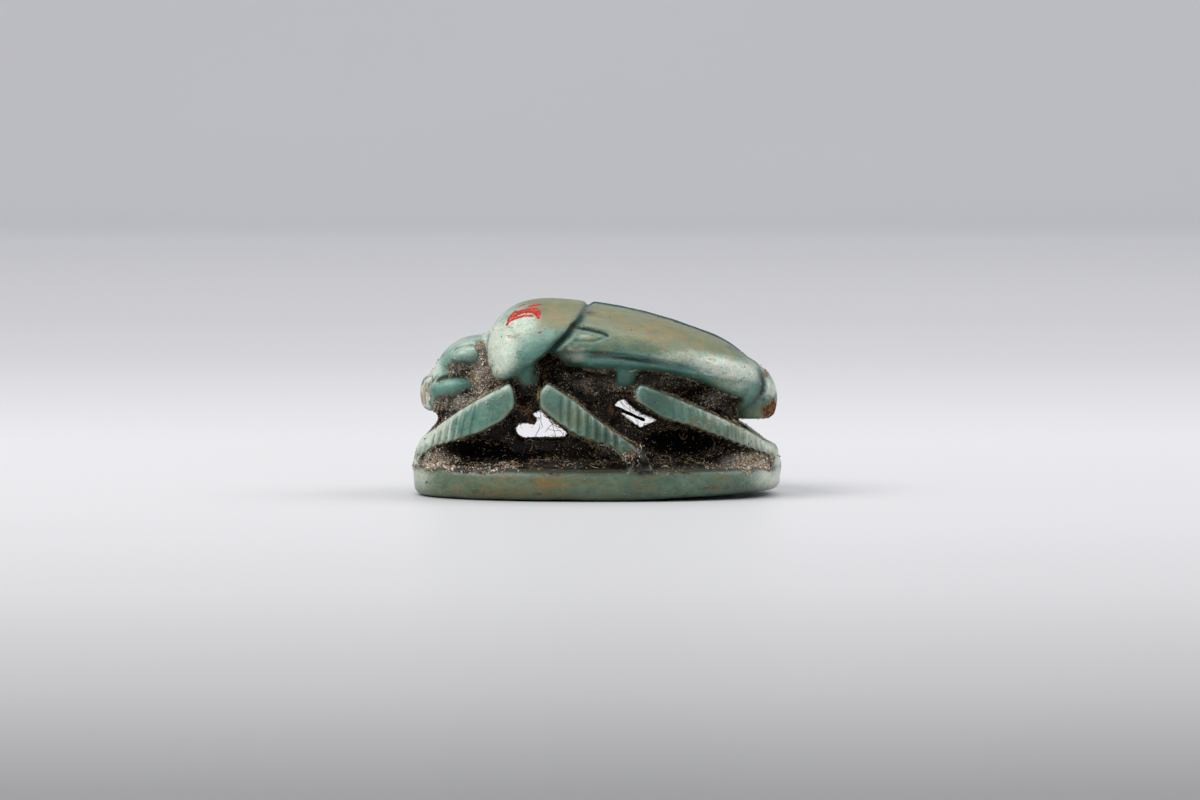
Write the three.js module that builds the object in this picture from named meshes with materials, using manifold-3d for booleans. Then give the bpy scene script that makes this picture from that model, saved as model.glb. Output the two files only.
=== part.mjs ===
// Scarab amulet: a small beetle carved from one block of glazed steatite, standing on an oval base plate.
// The legs are cut free in openwork and the block is drilled lengthwise for a cord.
//
// Frame: millimetres, +Z up, origin at the bottom centre of the bounding box.
// The head points to -X, the tail to +X, and the beetle is the same on both sides of the XZ plane.
//
// The carving follows the order of the real work: an oval block gives the base and an upright wall,
// the legs are left standing in that wall, the core behind them is narrower, and the domed body
// (pronotum, wing cases, tail plate) and the head sit on top of it.

import * as THREE from "three";
import { mergeVertices } from "three/addons/utils/BufferGeometryUtils.js";
import Module from "manifold-3d";

// ---- driving dimensions (mm) ----
const LENGTH = 18.0; // base plate, head to tail
const WIDTH = 12.8; // base plate, side to side
const OVAL_N = 2.3; // roundness exponent of the base outline
const BASE_T = 1.5; // height of the base plate's rim
const BASE_EDGE = 0.3; // rounding of its lower edge
const FLAT_TO_X = 2.0; // the underside is flat up to here, and then worn upwards
const TAIL_LIFT = 0.26; // how far the worn underside rises at the tail end

const WALL_T = 1.3; // thickness of the wall in which the legs stand
const WALL_TOP = 6.3; // height to which that wall reaches
const WALL_LEAN = 0.022; // inward lean of the wall for each mm of height
const CORE_HALF = 3.3; // half width of the core behind the legs
const HATCH_DEPTH = 0.18; // depth of the hatching on the lower legs
const HATCH_W = 0.17;

const BORE_R = 0.75; // cord hole
const BORE_Z = 3.15;

// ---- helpers ----
const wasm = await Module();
wasm.setup();

function solid(geometry) {
  let g = geometry.index ? geometry.toNonIndexed() : geometry.clone();
  for (const name of Object.keys(g.attributes))
    if (name !== "position") g.deleteAttribute(name);
  g = mergeVertices(g, 1e-4);
  return new wasm.Manifold(
    new wasm.Mesh({
      numProp: 3,
      vertProperties: new Float32Array(g.attributes.position.array),
      triVerts: new Uint32Array(g.index.array),
    }),
  );
}

function union(parts) {
  return parts.reduce((a, b) => a.add(b));
}

function spow(v, p) {
  return Math.sign(v) * Math.pow(Math.abs(v), p);
}

// An oval outline with half length a and half width b, as a closed shape in plan.
function oval(a, b, count = 52, n = OVAL_N) {
  const points = [];
  for (let i = 0; i < count; i++) {
    const t = (2 * Math.PI * i) / count;
    points.push(
      new THREE.Vector2(
        a * spow(Math.cos(t), 2 / n),
        b * spow(Math.sin(t), 2 / n),
      ),
    );
  }
  return new THREE.Shape(points);
}

// An upright oval wall from z0 to z1 that leans inwards as the amulet's sides do.
function ovalBlock(inset, z0, z1, halfWidth = WIDTH / 2 - inset, count = 52) {
  const g = new THREE.ExtrudeGeometry(
    oval(LENGTH / 2 - inset, halfWidth, count),
    { depth: z1 - z0, bevelEnabled: false, steps: 1 },
  );
  g.translate(0, 0, z0);
  const p = g.attributes.position;
  for (let i = 0; i < p.count; i++) {
    const s = 1 - WALL_LEAN * Math.max(0, p.getZ(i) - BASE_T);
    p.setXY(i, p.getX(i) * s, p.getY(i) * s);
  }
  return solid(g);
}

// A side view outline (x, z) as a prism right through the amulet, from y0 to y1.
function prism(shape, y0 = -WIDTH, y1 = WIDTH, curveSegments = 6) {
  const g = new THREE.ExtrudeGeometry(shape, {
    depth: y1 - y0,
    bevelEnabled: false,
    curveSegments,
  });
  g.rotateX(Math.PI / 2);
  g.translate(0, y1, 0);
  return solid(g);
}

function polygon(points) {
  return new THREE.Shape(points.map(([x, z]) => new THREE.Vector2(x, z)));
}

function rounded(points, segments = 24) {
  const curve = new THREE.CatmullRomCurve3(
    points.map(([x, z]) => new THREE.Vector3(x, z, 0)),
    true,
    "centripetal",
  );
  return new THREE.Shape(
    curve
      .getPoints(segments)
      .slice(0, -1)
      .map((v) => new THREE.Vector2(v.x, v.y)),
  );
}

// The side view of one leg: a band along a bent centre line, rounded where it leaves the body.
function legBand(leg, count = 7) {
  const line = new THREE.QuadraticBezierCurve(
    new THREE.Vector2(...leg.knee),
    new THREE.Vector2(...leg.bend),
    new THREE.Vector2(...leg.foot),
  );
  const upper = [],
    lower = [];
  for (let i = 0; i <= count; i++) {
    const t = i / count,
      c = line.getPoint(t),
      d = line.getTangent(t);
    const taper =
      t < 0.5
        ? THREE.MathUtils.lerp(leg.width[0], leg.width[1], t * 2)
        : THREE.MathUtils.lerp(leg.width[1], leg.width[2], t * 2 - 1);
    const w = taper / 2;
    upper.push(new THREE.Vector2(c.x - d.y * w, c.y + d.x * w));
    lower.push(new THREE.Vector2(c.x + d.y * w, c.y - d.x * w));
  }
  const start = line.getPoint(0),
    back = line.getTangent(0),
    r = leg.width[0] / 2,
    cap = [];
  for (let k = 1; k < 5; k++) {
    const a = (Math.PI * k) / 5;
    cap.push(
      new THREE.Vector2(
        start.x - back.y * r * Math.cos(a) - back.x * r * 0.45 * Math.sin(a),
        start.y + back.x * r * Math.cos(a) - back.y * r * 0.45 * Math.sin(a),
      ),
    );
  }
  return {
    shape: new THREE.Shape([...cap.reverse(), ...upper, ...lower.reverse()]),
    line,
  };
}

// Each leg as seen from the side: where it leaves the body, its bend, its foot, and its width at the three.
const LEGS = {
  fore: {
    knee: [-4.55, 4.98],
    bend: [-6.9, 3.5],
    foot: [-9.12, 2.02],
    width: [1.25, 1.1, 0.5],
    hatch: [0.3, 0.84, 10],
    lean: 0.1,
  },
  middle: {
    knee: [-2.25, 4.96],
    bend: [-0.62, 3.98],
    foot: [2.25, 1.3],
    width: [1.2, 1.0, 0.42],
    hatch: [0.18, 0.62, 6],
    lean: 0.02,
  },
  hind: {
    knee: [2.45, 5.06],
    bend: [5.6, 3.75],
    foot: [9.12, 1.78],
    width: [1.05, 0.84, 0.46],
    hatch: [0.22, 0.86, 13],
    lean: -0.03,
  },
};

// ---- base plate ----
const plate = new THREE.ExtrudeGeometry(
  oval(LENGTH / 2 - BASE_EDGE, WIDTH / 2 - BASE_EDGE),
  {
    depth: BASE_T - 2 * BASE_EDGE + 0.2,
    bevelEnabled: true,
    bevelThickness: BASE_EDGE,
    bevelSize: BASE_EDGE,
    bevelSegments: 3,
  },
);
plate.translate(0, 0, BASE_EDGE);
// the upper edge is cut square, so only the lower bevel is kept
let amulet = solid(plate).intersect(
  prism(polygon([[-20, -1], [20, -1], [20, BASE_T], [-20, BASE_T]])),
);

// ---- wall with the legs ----
const wall = ovalBlock(0, 0.9, WALL_TOP).subtract(
  ovalBlock(WALL_T, 0.5, WALL_TOP + 1),
);
const bands = Object.values(LEGS).map((leg) => prism(legBand(leg).shape));
const rim = [
  prism(polygon([[-9.5, 0.9], [-8.2, 0.9], [-8.35, 2.2], [-9.5, 2.2]])),
  prism(polygon([[8.2, 0.9], [9.5, 0.9], [9.5, 2.1], [8.35, 2.1]])),
];
amulet = amulet.add(wall.intersect(union([...bands, ...rim])));

// ---- core behind the legs, with the pierced gaps ----
const corePlan = ovalBlock(0.3, 1.0, 6.9, CORE_HALF, 40);
const coreSide = prism(
  polygon([
    [-8.75, 1.0],
    [-8.6, 2.3],
    [-8.0, 3.4],
    [-7.5, 4.6],
    [-5.2, 6.9],
    [6.0, 6.4],
    [6.9, 4.3],
    [7.5, 3.5],
    [8.5, 2.4],
    [8.7, 1.0],
  ]),
);
const gaps = [
  prism(rounded([[-4.1, 2.8], [-1.4, 2.75], [-1.9, 3.8], [-2.85, 4.45], [-3.8, 4.1]], 16)),
  prism(rounded([[0.75, 4.7], [1.5, 4.95], [2.8, 3.95], [2.45, 3.25], [1.75, 3.4]], 16)),
];
amulet = amulet.add(corePlan.intersect(coreSide));

// ---- body ----
// Stations along the length of each rounded form:
// [x, top, half width, height of the widest line, underside]
const BODY = [
  [-5.38, 8.3, 4.35, 6.6, 5.75],
  [-4.5, 9.03, 5.0, 6.6, 5.7],
  [-3.3, 9.47, 5.4, 6.8, 5.95],
  [-1.9, 9.63, 5.6, 7.2, 6.65],
  [0.3, 9.36, 5.8, 7.35, 6.9],
  [2.6, 8.86, 5.75, 7.05, 6.62],
  [4.9, 8.12, 5.25, 6.6, 6.1],
  [6.7, 7.28, 4.25, 6.1, 5.62],
  [8.12, 6.35, 2.95, 5.5, 4.9],
];
const BELLY = [
  [-1.85, 7.9, 5.2, 7.0, 6.35],
  [0.3, 8.0, 5.6, 7.0, 6.25],
  [2.6, 7.7, 5.58, 6.75, 6.15],
  [4.9, 7.1, 5.05, 6.3, 5.6],
  [6.7, 6.5, 4.05, 5.6, 4.7],
  [7.95, 6.2, 2.85, 5.0, 4.05],
];
const HEAD = [
  [-8.62, 5.7, 2.0, 4.95, 4.3],
  [-8.2, 6.1, 2.4, 5.1, 4.2],
  [-7.4, 7.06, 2.8, 5.3, 4.3],
  [-6.6, 7.62, 3.05, 5.6, 4.6],
  [-5.6, 7.86, 2.9, 5.9, 4.9],
  [-4.6, 8.1, 2.6, 6.1, 5.2],
];

// The value of column k at x, on a smooth curve through the stations.
function station(stations, x, k) {
  let i = 0;
  while (i < stations.length - 2 && x > stations[i + 1][0]) i++;
  const span = stations[i + 1][0] - stations[i][0],
    t = THREE.MathUtils.clamp((x - stations[i][0]) / span, 0, 1);
  const slope = (j) => {
    const a = stations[Math.max(0, j - 1)],
      b = stations[Math.min(stations.length - 1, j + 1)];
    return ((b[k] - a[k]) / (b[0] - a[0])) * span;
  };
  const p = stations[i][k],
    q = stations[i + 1][k];
  return (
    (2 * t ** 3 - 3 * t ** 2 + 1) * p +
    (t ** 3 - 2 * t ** 2 + t) * slope(i) +
    (3 * t ** 2 - 2 * t ** 3) * q +
    (t ** 3 - t ** 2) * slope(i + 1)
  );
}

// A rounded form through its stations: a ball whose poles lie on the X axis, with each vertex carried out to
// the section at its place. blunt sets how square the two ends are, top and under how square the section is above
// and below its widest line, and inset shrinks the whole form.
function rounded3(
  stations,
  { around, along, blunt, top = 0.95, under = 0.62, inset = 0 },
) {
  const x0 = stations[0][0] + inset,
    x1 = stations.at(-1)[0] - inset;
  const g = new THREE.SphereGeometry(1, around, along);
  g.rotateZ(Math.PI / 2);
  const p = g.attributes.position;
  for (let i = 0; i < p.count; i++) {
    const t = THREE.MathUtils.clamp(p.getX(i), -1, 1),
      r = Math.hypot(p.getY(i), p.getZ(i)),
      x = x0 + ((t + 1) / 2) * (x1 - x0),
      widest = station(stations, x, 3);
    if (r < 1e-5) {
      p.setXYZ(i, x, 0, widest);
      continue;
    }
    const c = p.getY(i) / r,
      s = p.getZ(i) / r,
      close = Math.pow(1 - Math.pow(Math.abs(t), blunt), 0.5),
      square = s > 0 ? top : under,
      height =
        s > 0
          ? station(stations, x, 1) - widest
          : widest - station(stations, x, 4);
    p.setXYZ(
      i,
      x,
      (station(stations, x, 2) - inset) * spow(c, square) * close,
      widest + (height - inset) * spow(s, square) * close,
    );
  }
  return solid(g);
}

const body = rounded3(BODY, { around: 36, along: 28, blunt: 9 });
const belly = rounded3(BELLY, { around: 24, along: 16, blunt: 7 });
const head = rounded3(HEAD, { around: 24, along: 16, blunt: 7, top: 0.8 });

function ball(radii, centre, tilt = 0, around = 14, along = 9) {
  const g = new THREE.SphereGeometry(1, around, along);
  g.scale(...radii);
  g.rotateY(tilt);
  g.translate(...centre);
  return solid(g);
}
// the tail plate is a rounded end, cut flat below
const TAIL_UNDER = 3.7;
const tail = ball([1.5, 2.7, 1.6], [7.35, 0, 4.6], 0, 20, 12).intersect(
  prism(polygon([[4, TAIL_UNDER], [10, TAIL_UNDER], [10, 8], [4, 8]])),
);
const eyes = [-1, 1].map((side) =>
  ball([0.7, 0.6, 0.42], [-6.42, side * 2.3, 7.0], -0.12),
);
const cheeks = [-1, 1].map((side) =>
  ball([1.05, 0.62, 0.5], [-7.2, side * 2.6, 5.3], -0.14),
);

// the plate in front of the head, notched in the middle
const clypeus = new THREE.ExtrudeGeometry(
  polygon([
    [-7.0, -2.6],
    [-7.7, -2.45],
    [-8.2, -1.95],
    [-8.5, -1.2],
    [-8.62, -0.45],
    [-8.45, -0.15],
    [-8.45, 0.15],
    [-8.62, 0.45],
    [-8.5, 1.2],
    [-8.2, 1.95],
    [-7.7, 2.45],
    [-7.0, 2.6],
  ].reverse()),
  { depth: 1.3, bevelEnabled: true, bevelThickness: 0.12, bevelSize: 0.05, bevelSegments: 1 },
);
clypeus.translate(0, 0, 4.27);

// short struts where the legs hang from the body
const struts = [
  [-3.35, 0.42],
  [1.48, 0.38],
].map(([x, half]) =>
  prism(polygon([[x - half, 4.9], [x + half, 4.9], [x + half, 6.8], [x - half, 6.8]])).intersect(
    ovalBlock(0.75, 4.5, 6.9, 5.35, 40),
  ),
);

amulet = union([
  amulet,
  body,
  belly,
  tail,
  head,
  solid(clypeus),
  ...eyes,
  ...cheeks,
  ...struts,
]);
amulet = amulet.subtract(union(gaps));

// ---- sunk lines ----
// Each line is a thin sheet through the body, kept to the surface by leaving out everything deeper than its depth.
const SUTURE_DEPTH = 0.3;
const within = (depth) =>
  rounded3(BODY, { around: 36, along: 28, blunt: 9, inset: depth });
const SUTURE_W = 0.3;
const suture = prism(
  polygon([
    [-0.35 - SUTURE_W / 2, 10],
    [-0.35 + SUTURE_W / 2, 10],
    [-0.4 + SUTURE_W / 2, 9.3],
    [-0.95 + SUTURE_W / 2, 8.4],
    [-1.75 + SUTURE_W / 2, 7.4],
    [-2.2 + SUTURE_W / 2, 6.85],
    [-2.5, 6.6],
    [-2.7, 6.75],
    [-2.4 - SUTURE_W / 2, 6.95],
    [-1.75 - SUTURE_W / 2, 7.6],
    [-0.95 - SUTURE_W / 2, 8.6],
    [-0.4 - SUTURE_W / 2, 9.4],
  ].reverse()),
).subtract(within(SUTURE_DEPTH));
amulet = amulet.subtract(suture);

// line between the wing cases
const seamBox = new THREE.BoxGeometry(8.6, 0.2, 6);
seamBox.translate(4.1, 0, 8);
amulet = amulet.subtract(solid(seamBox).subtract(within(0.22)));

// hatching on the outer faces of the legs
const skin = ovalBlock(-0.5, 1.2, WALL_TOP).subtract(
  ovalBlock(HATCH_DEPTH, 1.0, WALL_TOP + 1),
);
const slats = [];
for (const leg of Object.values(LEGS)) {
  const { line } = legBand(leg);
  const [t0, t1, count] = leg.hatch;
  for (let i = 0; i < count; i++) {
    const t = THREE.MathUtils.lerp(t0, t1, i / (count - 1));
    const c = line.getPoint(t),
      w = THREE.MathUtils.lerp(leg.width[1], leg.width[2], Math.max(0, 2 * t - 1)) * 0.42,
      { lean } = leg,
      h = HATCH_W / 2;
    slats.push(
      prism(
        polygon([
          [c.x - h - lean, c.y - w],
          [c.x + h - lean, c.y - w],
          [c.x + h + lean, c.y + w],
          [c.x - h + lean, c.y + w],
        ]),
      ),
    );
  }
}
amulet = amulet.subtract(skin.intersect(union(slats)));

// ---- cord hole, lengthwise ----
const drill = new THREE.CylinderGeometry(BORE_R, BORE_R, 30, 16);
drill.rotateZ(Math.PI / 2);
drill.translate(0, 0, BORE_Z);
amulet = amulet.subtract(solid(drill));

// ---- worn underside at the tail ----
amulet = amulet.subtract(
  prism(polygon([[FLAT_TO_X, -1], [12, -1], [12, (TAIL_LIFT * (12 - FLAT_TO_X)) / (LENGTH / 2 - FLAT_TO_X)], [FLAT_TO_X, 0]])),
);

// ---- scene graph ----
function toGeometry(made) {
  const m = made.getMesh(),
    n = m.numProp,
    v = new Float32Array(m.numVert * 3);
  for (let i = 0; i < m.numVert; i++)
    v.set(m.vertProperties.subarray(i * n, i * n + 3), i * 3);
  const g = new THREE.BufferGeometry();
  g.setAttribute("position", new THREE.BufferAttribute(v, 3));
  g.setIndex(new THREE.BufferAttribute(new Uint32Array(m.triVerts), 1));
  g.computeVertexNormals();
  return g;
}

const largest = amulet.decompose().sort((a, b) => b.volume() - a.volume())[0];
const scarab = new THREE.Mesh(
  toGeometry(largest),
  new THREE.MeshStandardMaterial({
    color: new THREE.Color(0.27, 0.44, 0.39),
    roughness: 0.35,
    metalness: 0,
  }),
);
scarab.name = "scarab";

const root = new THREE.Group();
root.name = "scarab_amulet";
root.add(scarab);
export default root;
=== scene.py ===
"""The looks of the scarab amulet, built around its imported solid: the carved and glazed stone with its wear, the soil
left in its recesses, loose grains and lint, a few strokes of red ink, and a plain stage.

The carving is a signed field in millimetres on a regular grid (x to the tail, y across, z up), which is meshed once."""

import math

import bpy
import numpy as np
from mathutils import Matrix, Vector
from mathutils.bvhtree import BVHTree


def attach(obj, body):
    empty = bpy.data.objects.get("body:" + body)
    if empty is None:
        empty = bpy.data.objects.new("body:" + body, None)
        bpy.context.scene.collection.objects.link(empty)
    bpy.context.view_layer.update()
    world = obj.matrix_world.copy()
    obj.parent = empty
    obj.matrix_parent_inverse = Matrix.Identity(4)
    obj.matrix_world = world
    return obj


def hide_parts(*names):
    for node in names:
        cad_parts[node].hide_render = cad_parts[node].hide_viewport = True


f32 = np.float32
MM = 0.001

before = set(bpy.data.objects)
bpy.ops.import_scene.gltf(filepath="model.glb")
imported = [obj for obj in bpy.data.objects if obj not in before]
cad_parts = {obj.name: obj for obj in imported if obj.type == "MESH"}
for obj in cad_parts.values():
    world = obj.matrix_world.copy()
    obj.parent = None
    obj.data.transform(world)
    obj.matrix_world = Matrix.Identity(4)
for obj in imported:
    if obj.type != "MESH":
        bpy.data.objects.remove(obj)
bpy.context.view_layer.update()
STEP = 0.064  # grid spacing
TARGET_TRIS = 196000

# ------------------------------------------------------------------------------------------------------------------
# Dimensions of the carving (mm). The amulet is the same on both sides, so only the near half (y < 0) is laid out.
# ------------------------------------------------------------------------------------------------------------------
LENGTH, WIDTH, OVAL_N = 18.0, 12.8, 2.3
BASE_T = 1.45
WALL_T = 1.35  # the wall in which the legs stand
LEAN = 0.022  # how far that wall leans in, for each mm of height
BORE_R, BORE_Z = 0.78, 3.15

# x, top, half width, height of the widest line, underside
BODY = [
    (-5.6, 8.15, 4.3, 6.5, 5.15),
    (-4.5, 9.03, 5.0, 6.65, 5.4),
    (-3.3, 9.47, 5.4, 6.95, 6.2),
    (-1.9, 9.54, 5.6, 7.35, 6.98),
    (0.3, 9.26, 5.8, 7.35, 6.95),
    (2.6, 8.77, 5.75, 7.05, 6.62),
    (4.9, 8.05, 5.25, 6.6, 6.1),
    (6.7, 7.28, 4.25, 6.1, 5.5),
    (8.12, 6.3, 2.95, 5.5, 4.75),
]
BELLY = [
    (-2.05, 7.7, 5.66, 6.98, 6.22),
    (0.3, 8.0, 5.76, 6.9, 6.1),
    (2.6, 7.7, 5.64, 6.72, 6.1),
    (4.9, 7.1, 5.05, 6.3, 5.6),
    (6.7, 6.5, 4.05, 5.6, 4.7),
    (7.95, 6.2, 2.85, 5.0, 4.05),
]
HEAD = [
    (-8.6, 5.45, 0.5, 4.95, 4.3),
    (-8.2, 5.9, 1.6, 5.1, 4.2),
    (-7.4, 7.02, 2.45, 5.3, 4.3),
    (-6.6, 7.58, 2.9, 5.6, 4.6),
    (-5.6, 7.8, 2.9, 5.9, 4.9),
    (-4.6, 8.1, 2.6, 6.1, 5.2),
]
# outline in the side view, from the knee along the upper edge to the foot and back; first and last rib (x); how far the
# ribs lean; where the ribs start to be counted (x)
LEGS = {
    "fore": (
        [
            (-4.2, 5.62),
            (-5.5, 4.94),
            (-6.68, 4.22),
            (-7.22, 3.84),
            (-7.77, 3.4),
            (-8.43, 2.84),
            (-8.85, 2.38),
            (-9.4, 1.9),
            (-9.4, 1.2),
            (-9.0, 1.62),
            (-8.7, 1.93),
            (-7.73, 2.5),
            (-7.07, 2.73),
            (-6.28, 2.99),
            (-5.5, 3.33),
            (-4.52, 3.88),
            (-3.98, 4.5),
            (-4.0, 5.2),
        ],
        (-8.9, -5.9),
        0.2,
    ),
    "middle": (
        [
            (-2.4, 5.66),
            (-1.12, 4.83),
            (-0.16, 4.07),
            (0.68, 3.46),
            (1.35, 3.0),
            (2.11, 2.42),
            (2.5, 1.85),
            (2.85, 1.2),
            (1.5, 1.2),
            (1.5, 1.74),
            (1.15, 2.3),
            (0.5, 2.66),
            (-0.3, 2.88),
            (-1.06, 3.24),
            (-1.85, 3.78),
            (-2.72, 4.5),
            (-2.74, 5.2),
        ],
        (-1.75, 1.1),
        0.04,
    ),
    "hind": (
        [
            (2.12, 5.62),
            (3.8, 4.93),
            (5.19, 4.3),
            (6.53, 3.66),
            (7.3, 3.26),
            (8.08, 2.74),
            (8.62, 2.3),
            (9.4, 1.6),
            (9.4, 1.1),
            (8.7, 1.75),
            (8.08, 2.12),
            (6.53, 2.76),
            (4.99, 3.42),
            (3.18, 4.0),
            (1.92, 4.8),
            (1.85, 5.3),
        ],
        (3.7, 8.9),
        -0.03,
    ),
}
RIB_PITCH = 0.455
CORE = [
    (-8.7, 1.0),
    (-8.4, 2.1),
    (-7.6, 3.2),
    (-7.2, 4.3),
    (-5.2, 6.9),
    (6.0, 6.4),
    (6.35, 4.7),
    (6.5, 3.9),
    (7.0, 3.3),
    (8.0, 2.45),
    (8.4, 1.9),
    (8.65, 1.0),
]
# the two pierced gaps: their outline at the middle of the core, in the side view
GAP_FRONT = [
    (-4.05, 3.17),
    (-3.83, 3.52),
    (-3.3, 3.5),
    (-3.06, 3.42),
    (-2.92, 3.7),
    (-3.2, 3.88),
    (-3.1, 4.02),
    (-2.72, 4.14),
    (-2.43, 3.8),
    (-2.04, 3.48),
    (-1.65, 3.24),
    (-1.41, 3.0),
    (-1.62, 2.76),
    (-3.64, 2.76),
    (-3.96, 2.95),
]
GAP_REAR = [
    (0.82, 4.4),
    (1.06, 4.6),
    (1.35, 4.68),
    (1.69, 4.3),
    (2.18, 3.96),
    (2.66, 3.8),
    (2.95, 3.6),
    (2.48, 3.42),
    (2.13, 3.24),
    (1.54, 3.62),
    (1.15, 3.96),
    (0.96, 4.2),
]
POCKETS = [
    ((3.9, -3.6, 2.75), (1.9, 1.9, 0.8)),
    ((-5.7, -3.6, 2.35), (1.5, 1.6, 0.6)),
    ((-0.2, -3.7, 5.45), (1.3, 1.5, 0.55)),
    ((4.5, -3.6, 5.2), (1.7, 1.4, 0.5)),
    ((0.6, -3.5, 2.1), (1.2, 1.3, 0.5)),
]
SUTURE = [
    (-0.37, 9.9),
    (-0.37, 9.33),
    (-0.56, 9.1),
    (-0.86, 8.62),
    (-1.16, 8.35),
    (-1.42, 7.96),
    (-1.8, 7.61),
    (-2.13, 7.25),
    (-2.45, 6.93),
    (-2.78, 6.5),
    (-3.0, 6.1),
]
SHOULDER = [
    [(-1.1, 8.33), (-0.31, 8.2), (0.28, 8.05), (0.53, 7.95)],
    [(0.53, 7.93), (0.05, 7.74), (-0.2, 7.68)],
    [(-1.06, 7.71), (-0.65, 7.72), (-0.2, 7.7)],
]
WING_EDGE = [
    (-1.0, 6.98),
    (-0.31, 6.93),
    (0.62, 6.93),
    (1.37, 6.88),
    (1.94, 6.8),
    (2.5, 6.72),
    (3.06, 6.62),
    (4.07, 6.4),
    (5.0, 6.1),
    (6.0, 5.85),
    (6.95, 5.64),
    (7.5, 5.55),
]
TAIL_LINE = [
    (7.9, 6.2),
    (8.02, 5.9),
    (8.13, 5.42),
    (8.05, 5.1),
    (7.86, 4.77),
    (7.34, 4.38),
    (6.95, 4.1),
]


# ------------------------------------------------------------------------------------------------------------------
# Field helpers
# ------------------------------------------------------------------------------------------------------------------
def table(rows, x, k):
    """Column k of the stations at x, on the smooth curve through them."""
    s = np.array(rows, float)
    x = np.asarray(x, float)
    i = np.clip(np.searchsorted(s[:, 0], x) - 1, 0, len(s) - 2)
    span = s[i + 1, 0] - s[i, 0]
    t = np.clip((x - s[i, 0]) / span, 0, 1)
    n = len(s) - 1

    def slope(j):
        a, b = np.maximum(j - 1, 0), np.minimum(j + 1, n)
        return (s[b, k] - s[a, k]) / (s[b, 0] - s[a, 0]) * span

    return (
        (2 * t**3 - 3 * t**2 + 1) * s[i, k]
        + (t**3 - 2 * t**2 + t) * slope(i)
        + (3 * t**2 - 2 * t**3) * s[i + 1, k]
        + (t**3 - t**2) * slope(i + 1)
    )


def smin(a, b, k):
    h = np.maximum(k - np.abs(a - b), 0) / k
    return np.minimum(a, b) - h * h * k * 0.25


def smax(a, b, k):
    return -smin(-a, -b, k)


def sstep(a, b, v):
    t = np.clip((v - a) / (b - a), 0, 1)
    return t * t * (3 - 2 * t)


class Grid:
    """The near half of the amulet on a grid."""

    def __init__(self, h):
        self.h = h
        self.x = np.arange(-9.4, 9.4 + h, h).astype(f32)
        self.y = (-np.arange(0, 6.8, h)[::-1] - h / 2).astype(f32)
        self.z = np.arange(-0.3, 10.0, h).astype(f32)
        self.X = self.x[:, None, None]
        self.Y = self.y[None, :, None]
        self.Z = self.z[None, None, :]
        self.shape = (len(self.x), len(self.y), len(self.z))
        self.ribs = []

    def norm(self, F, lim=1.5):
        """A field's first-order distance near its zero surface."""
        gx, gy, gz = np.gradient(F, self.h)
        g = np.sqrt(gx * gx + gy * gy + gz * gz)
        return np.clip(F / np.maximum(g, 1e-3), -lim, lim)

    def side(self, flat):
        """A field of the side view, carried right through."""
        return np.broadcast_to(flat[:, None, :].astype(f32), self.shape)


def rounded3(g, rows, blunt, top=0.95, under=0.62, front=None):
    """A rounded form through its stations. blunt sets how square its two ends are, and front its head end alone."""
    x = g.x
    a = table(rows, x, 2).astype(f32)[:, None, None]
    zc = table(rows, x, 3).astype(f32)[:, None, None]
    hu = table(rows, x, 1).astype(f32)[:, None, None] - zc
    hd = zc - table(rows, x, 4).astype(f32)[:, None, None]
    x0, x1 = rows[0][0], rows[-1][0]
    t = ((x - (x0 + x1) / 2) / ((x1 - x0) / 2)).astype(f32)
    power = np.where(t < 0, front or blunt, blunt).astype(f32)
    tb = (np.minimum(np.abs(t), 1.4) ** power)[:, None, None]
    up = g.Z > zc
    v = np.where(up, (g.Z - zc) / hu, (zc - g.Z) / hd)
    u = -g.Y / a
    mu, md = 2 / top, 2 / under
    ru = (u**mu + v**mu) ** (2 / mu)
    rd = (u**md + v**md) ** (2 / md)
    F = np.sqrt(np.where(up, ru, rd) + tb) - 1
    return g.norm(F.astype(f32))


def oval_distance(g, a, b, n=OVAL_N):
    s = (1 - LEAN * np.maximum(0, g.z - BASE_T)).astype(f32)[None, None, :]
    F = ((np.abs(g.X) / (a * s)) ** n + (-g.Y / (b * s)) ** n) ** (1 / n) - 1
    return g.norm(F.astype(f32), 9)


def seg_distance(px, pz, pts, widths=None):
    """Distance in the side view to a polyline, less its half width there, and the place along it."""
    best = np.full(np.broadcast(px, pz).shape, 1e9)
    place = np.zeros_like(best)
    n = len(pts) - 1
    for i in range(n):
        (ax, az), (bx, bz) = pts[i], pts[i + 1]
        dx, dz = bx - ax, bz - az
        t = np.clip(
            ((px - ax) * dx + (pz - az) * dz) / (dx * dx + dz * dz + 1e-12), 0, 1
        )
        d = np.hypot(px - ax - t * dx, pz - az - t * dz)
        if widths is not None:
            d = d - (widths[i] + (widths[i + 1] - widths[i]) * t) / 2
        m = d < best
        best = np.where(m, d, best)
        place = np.where(m, (i + t) / n, place)
    return best, place


def poly_sdf(px, pz, poly):
    n = len(poly)
    d = np.full(np.broadcast(px, pz).shape, 1e9)
    inside = np.zeros(d.shape, bool)
    for i in range(n):
        (ax, az), (bx, bz) = poly[i], poly[(i + 1) % n]
        dx, dz = bx - ax, bz - az
        t = np.clip(((px - ax) * dx + (pz - az) * dz) / (dx * dx + dz * dz), 0, 1)
        d = np.minimum(d, np.hypot(px - ax - t * dx, pz - az - t * dz))
        c = ((az > pz) != (bz > pz)) & (
            px < (bx - ax) * (pz - az) / (bz - az + 1e-12) + ax
        )
        inside ^= c
    return np.where(inside, -d, d)


def soften(flat, h, radius):
    """A side view field with its corners rounded."""
    r = max(1, int(round(radius / h / 1.7)))
    k = np.ones(2 * r + 1) / (2 * r + 1)
    for _ in range(2):
        for axis in (0, 1):
            pad = [(0, 0), (0, 0)]
            pad[axis] = (r, r)
            wide = np.pad(flat, pad, mode="edge")
            flat = np.apply_along_axis(np.convolve, axis, wide, k, "valid")
    return flat


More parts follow.
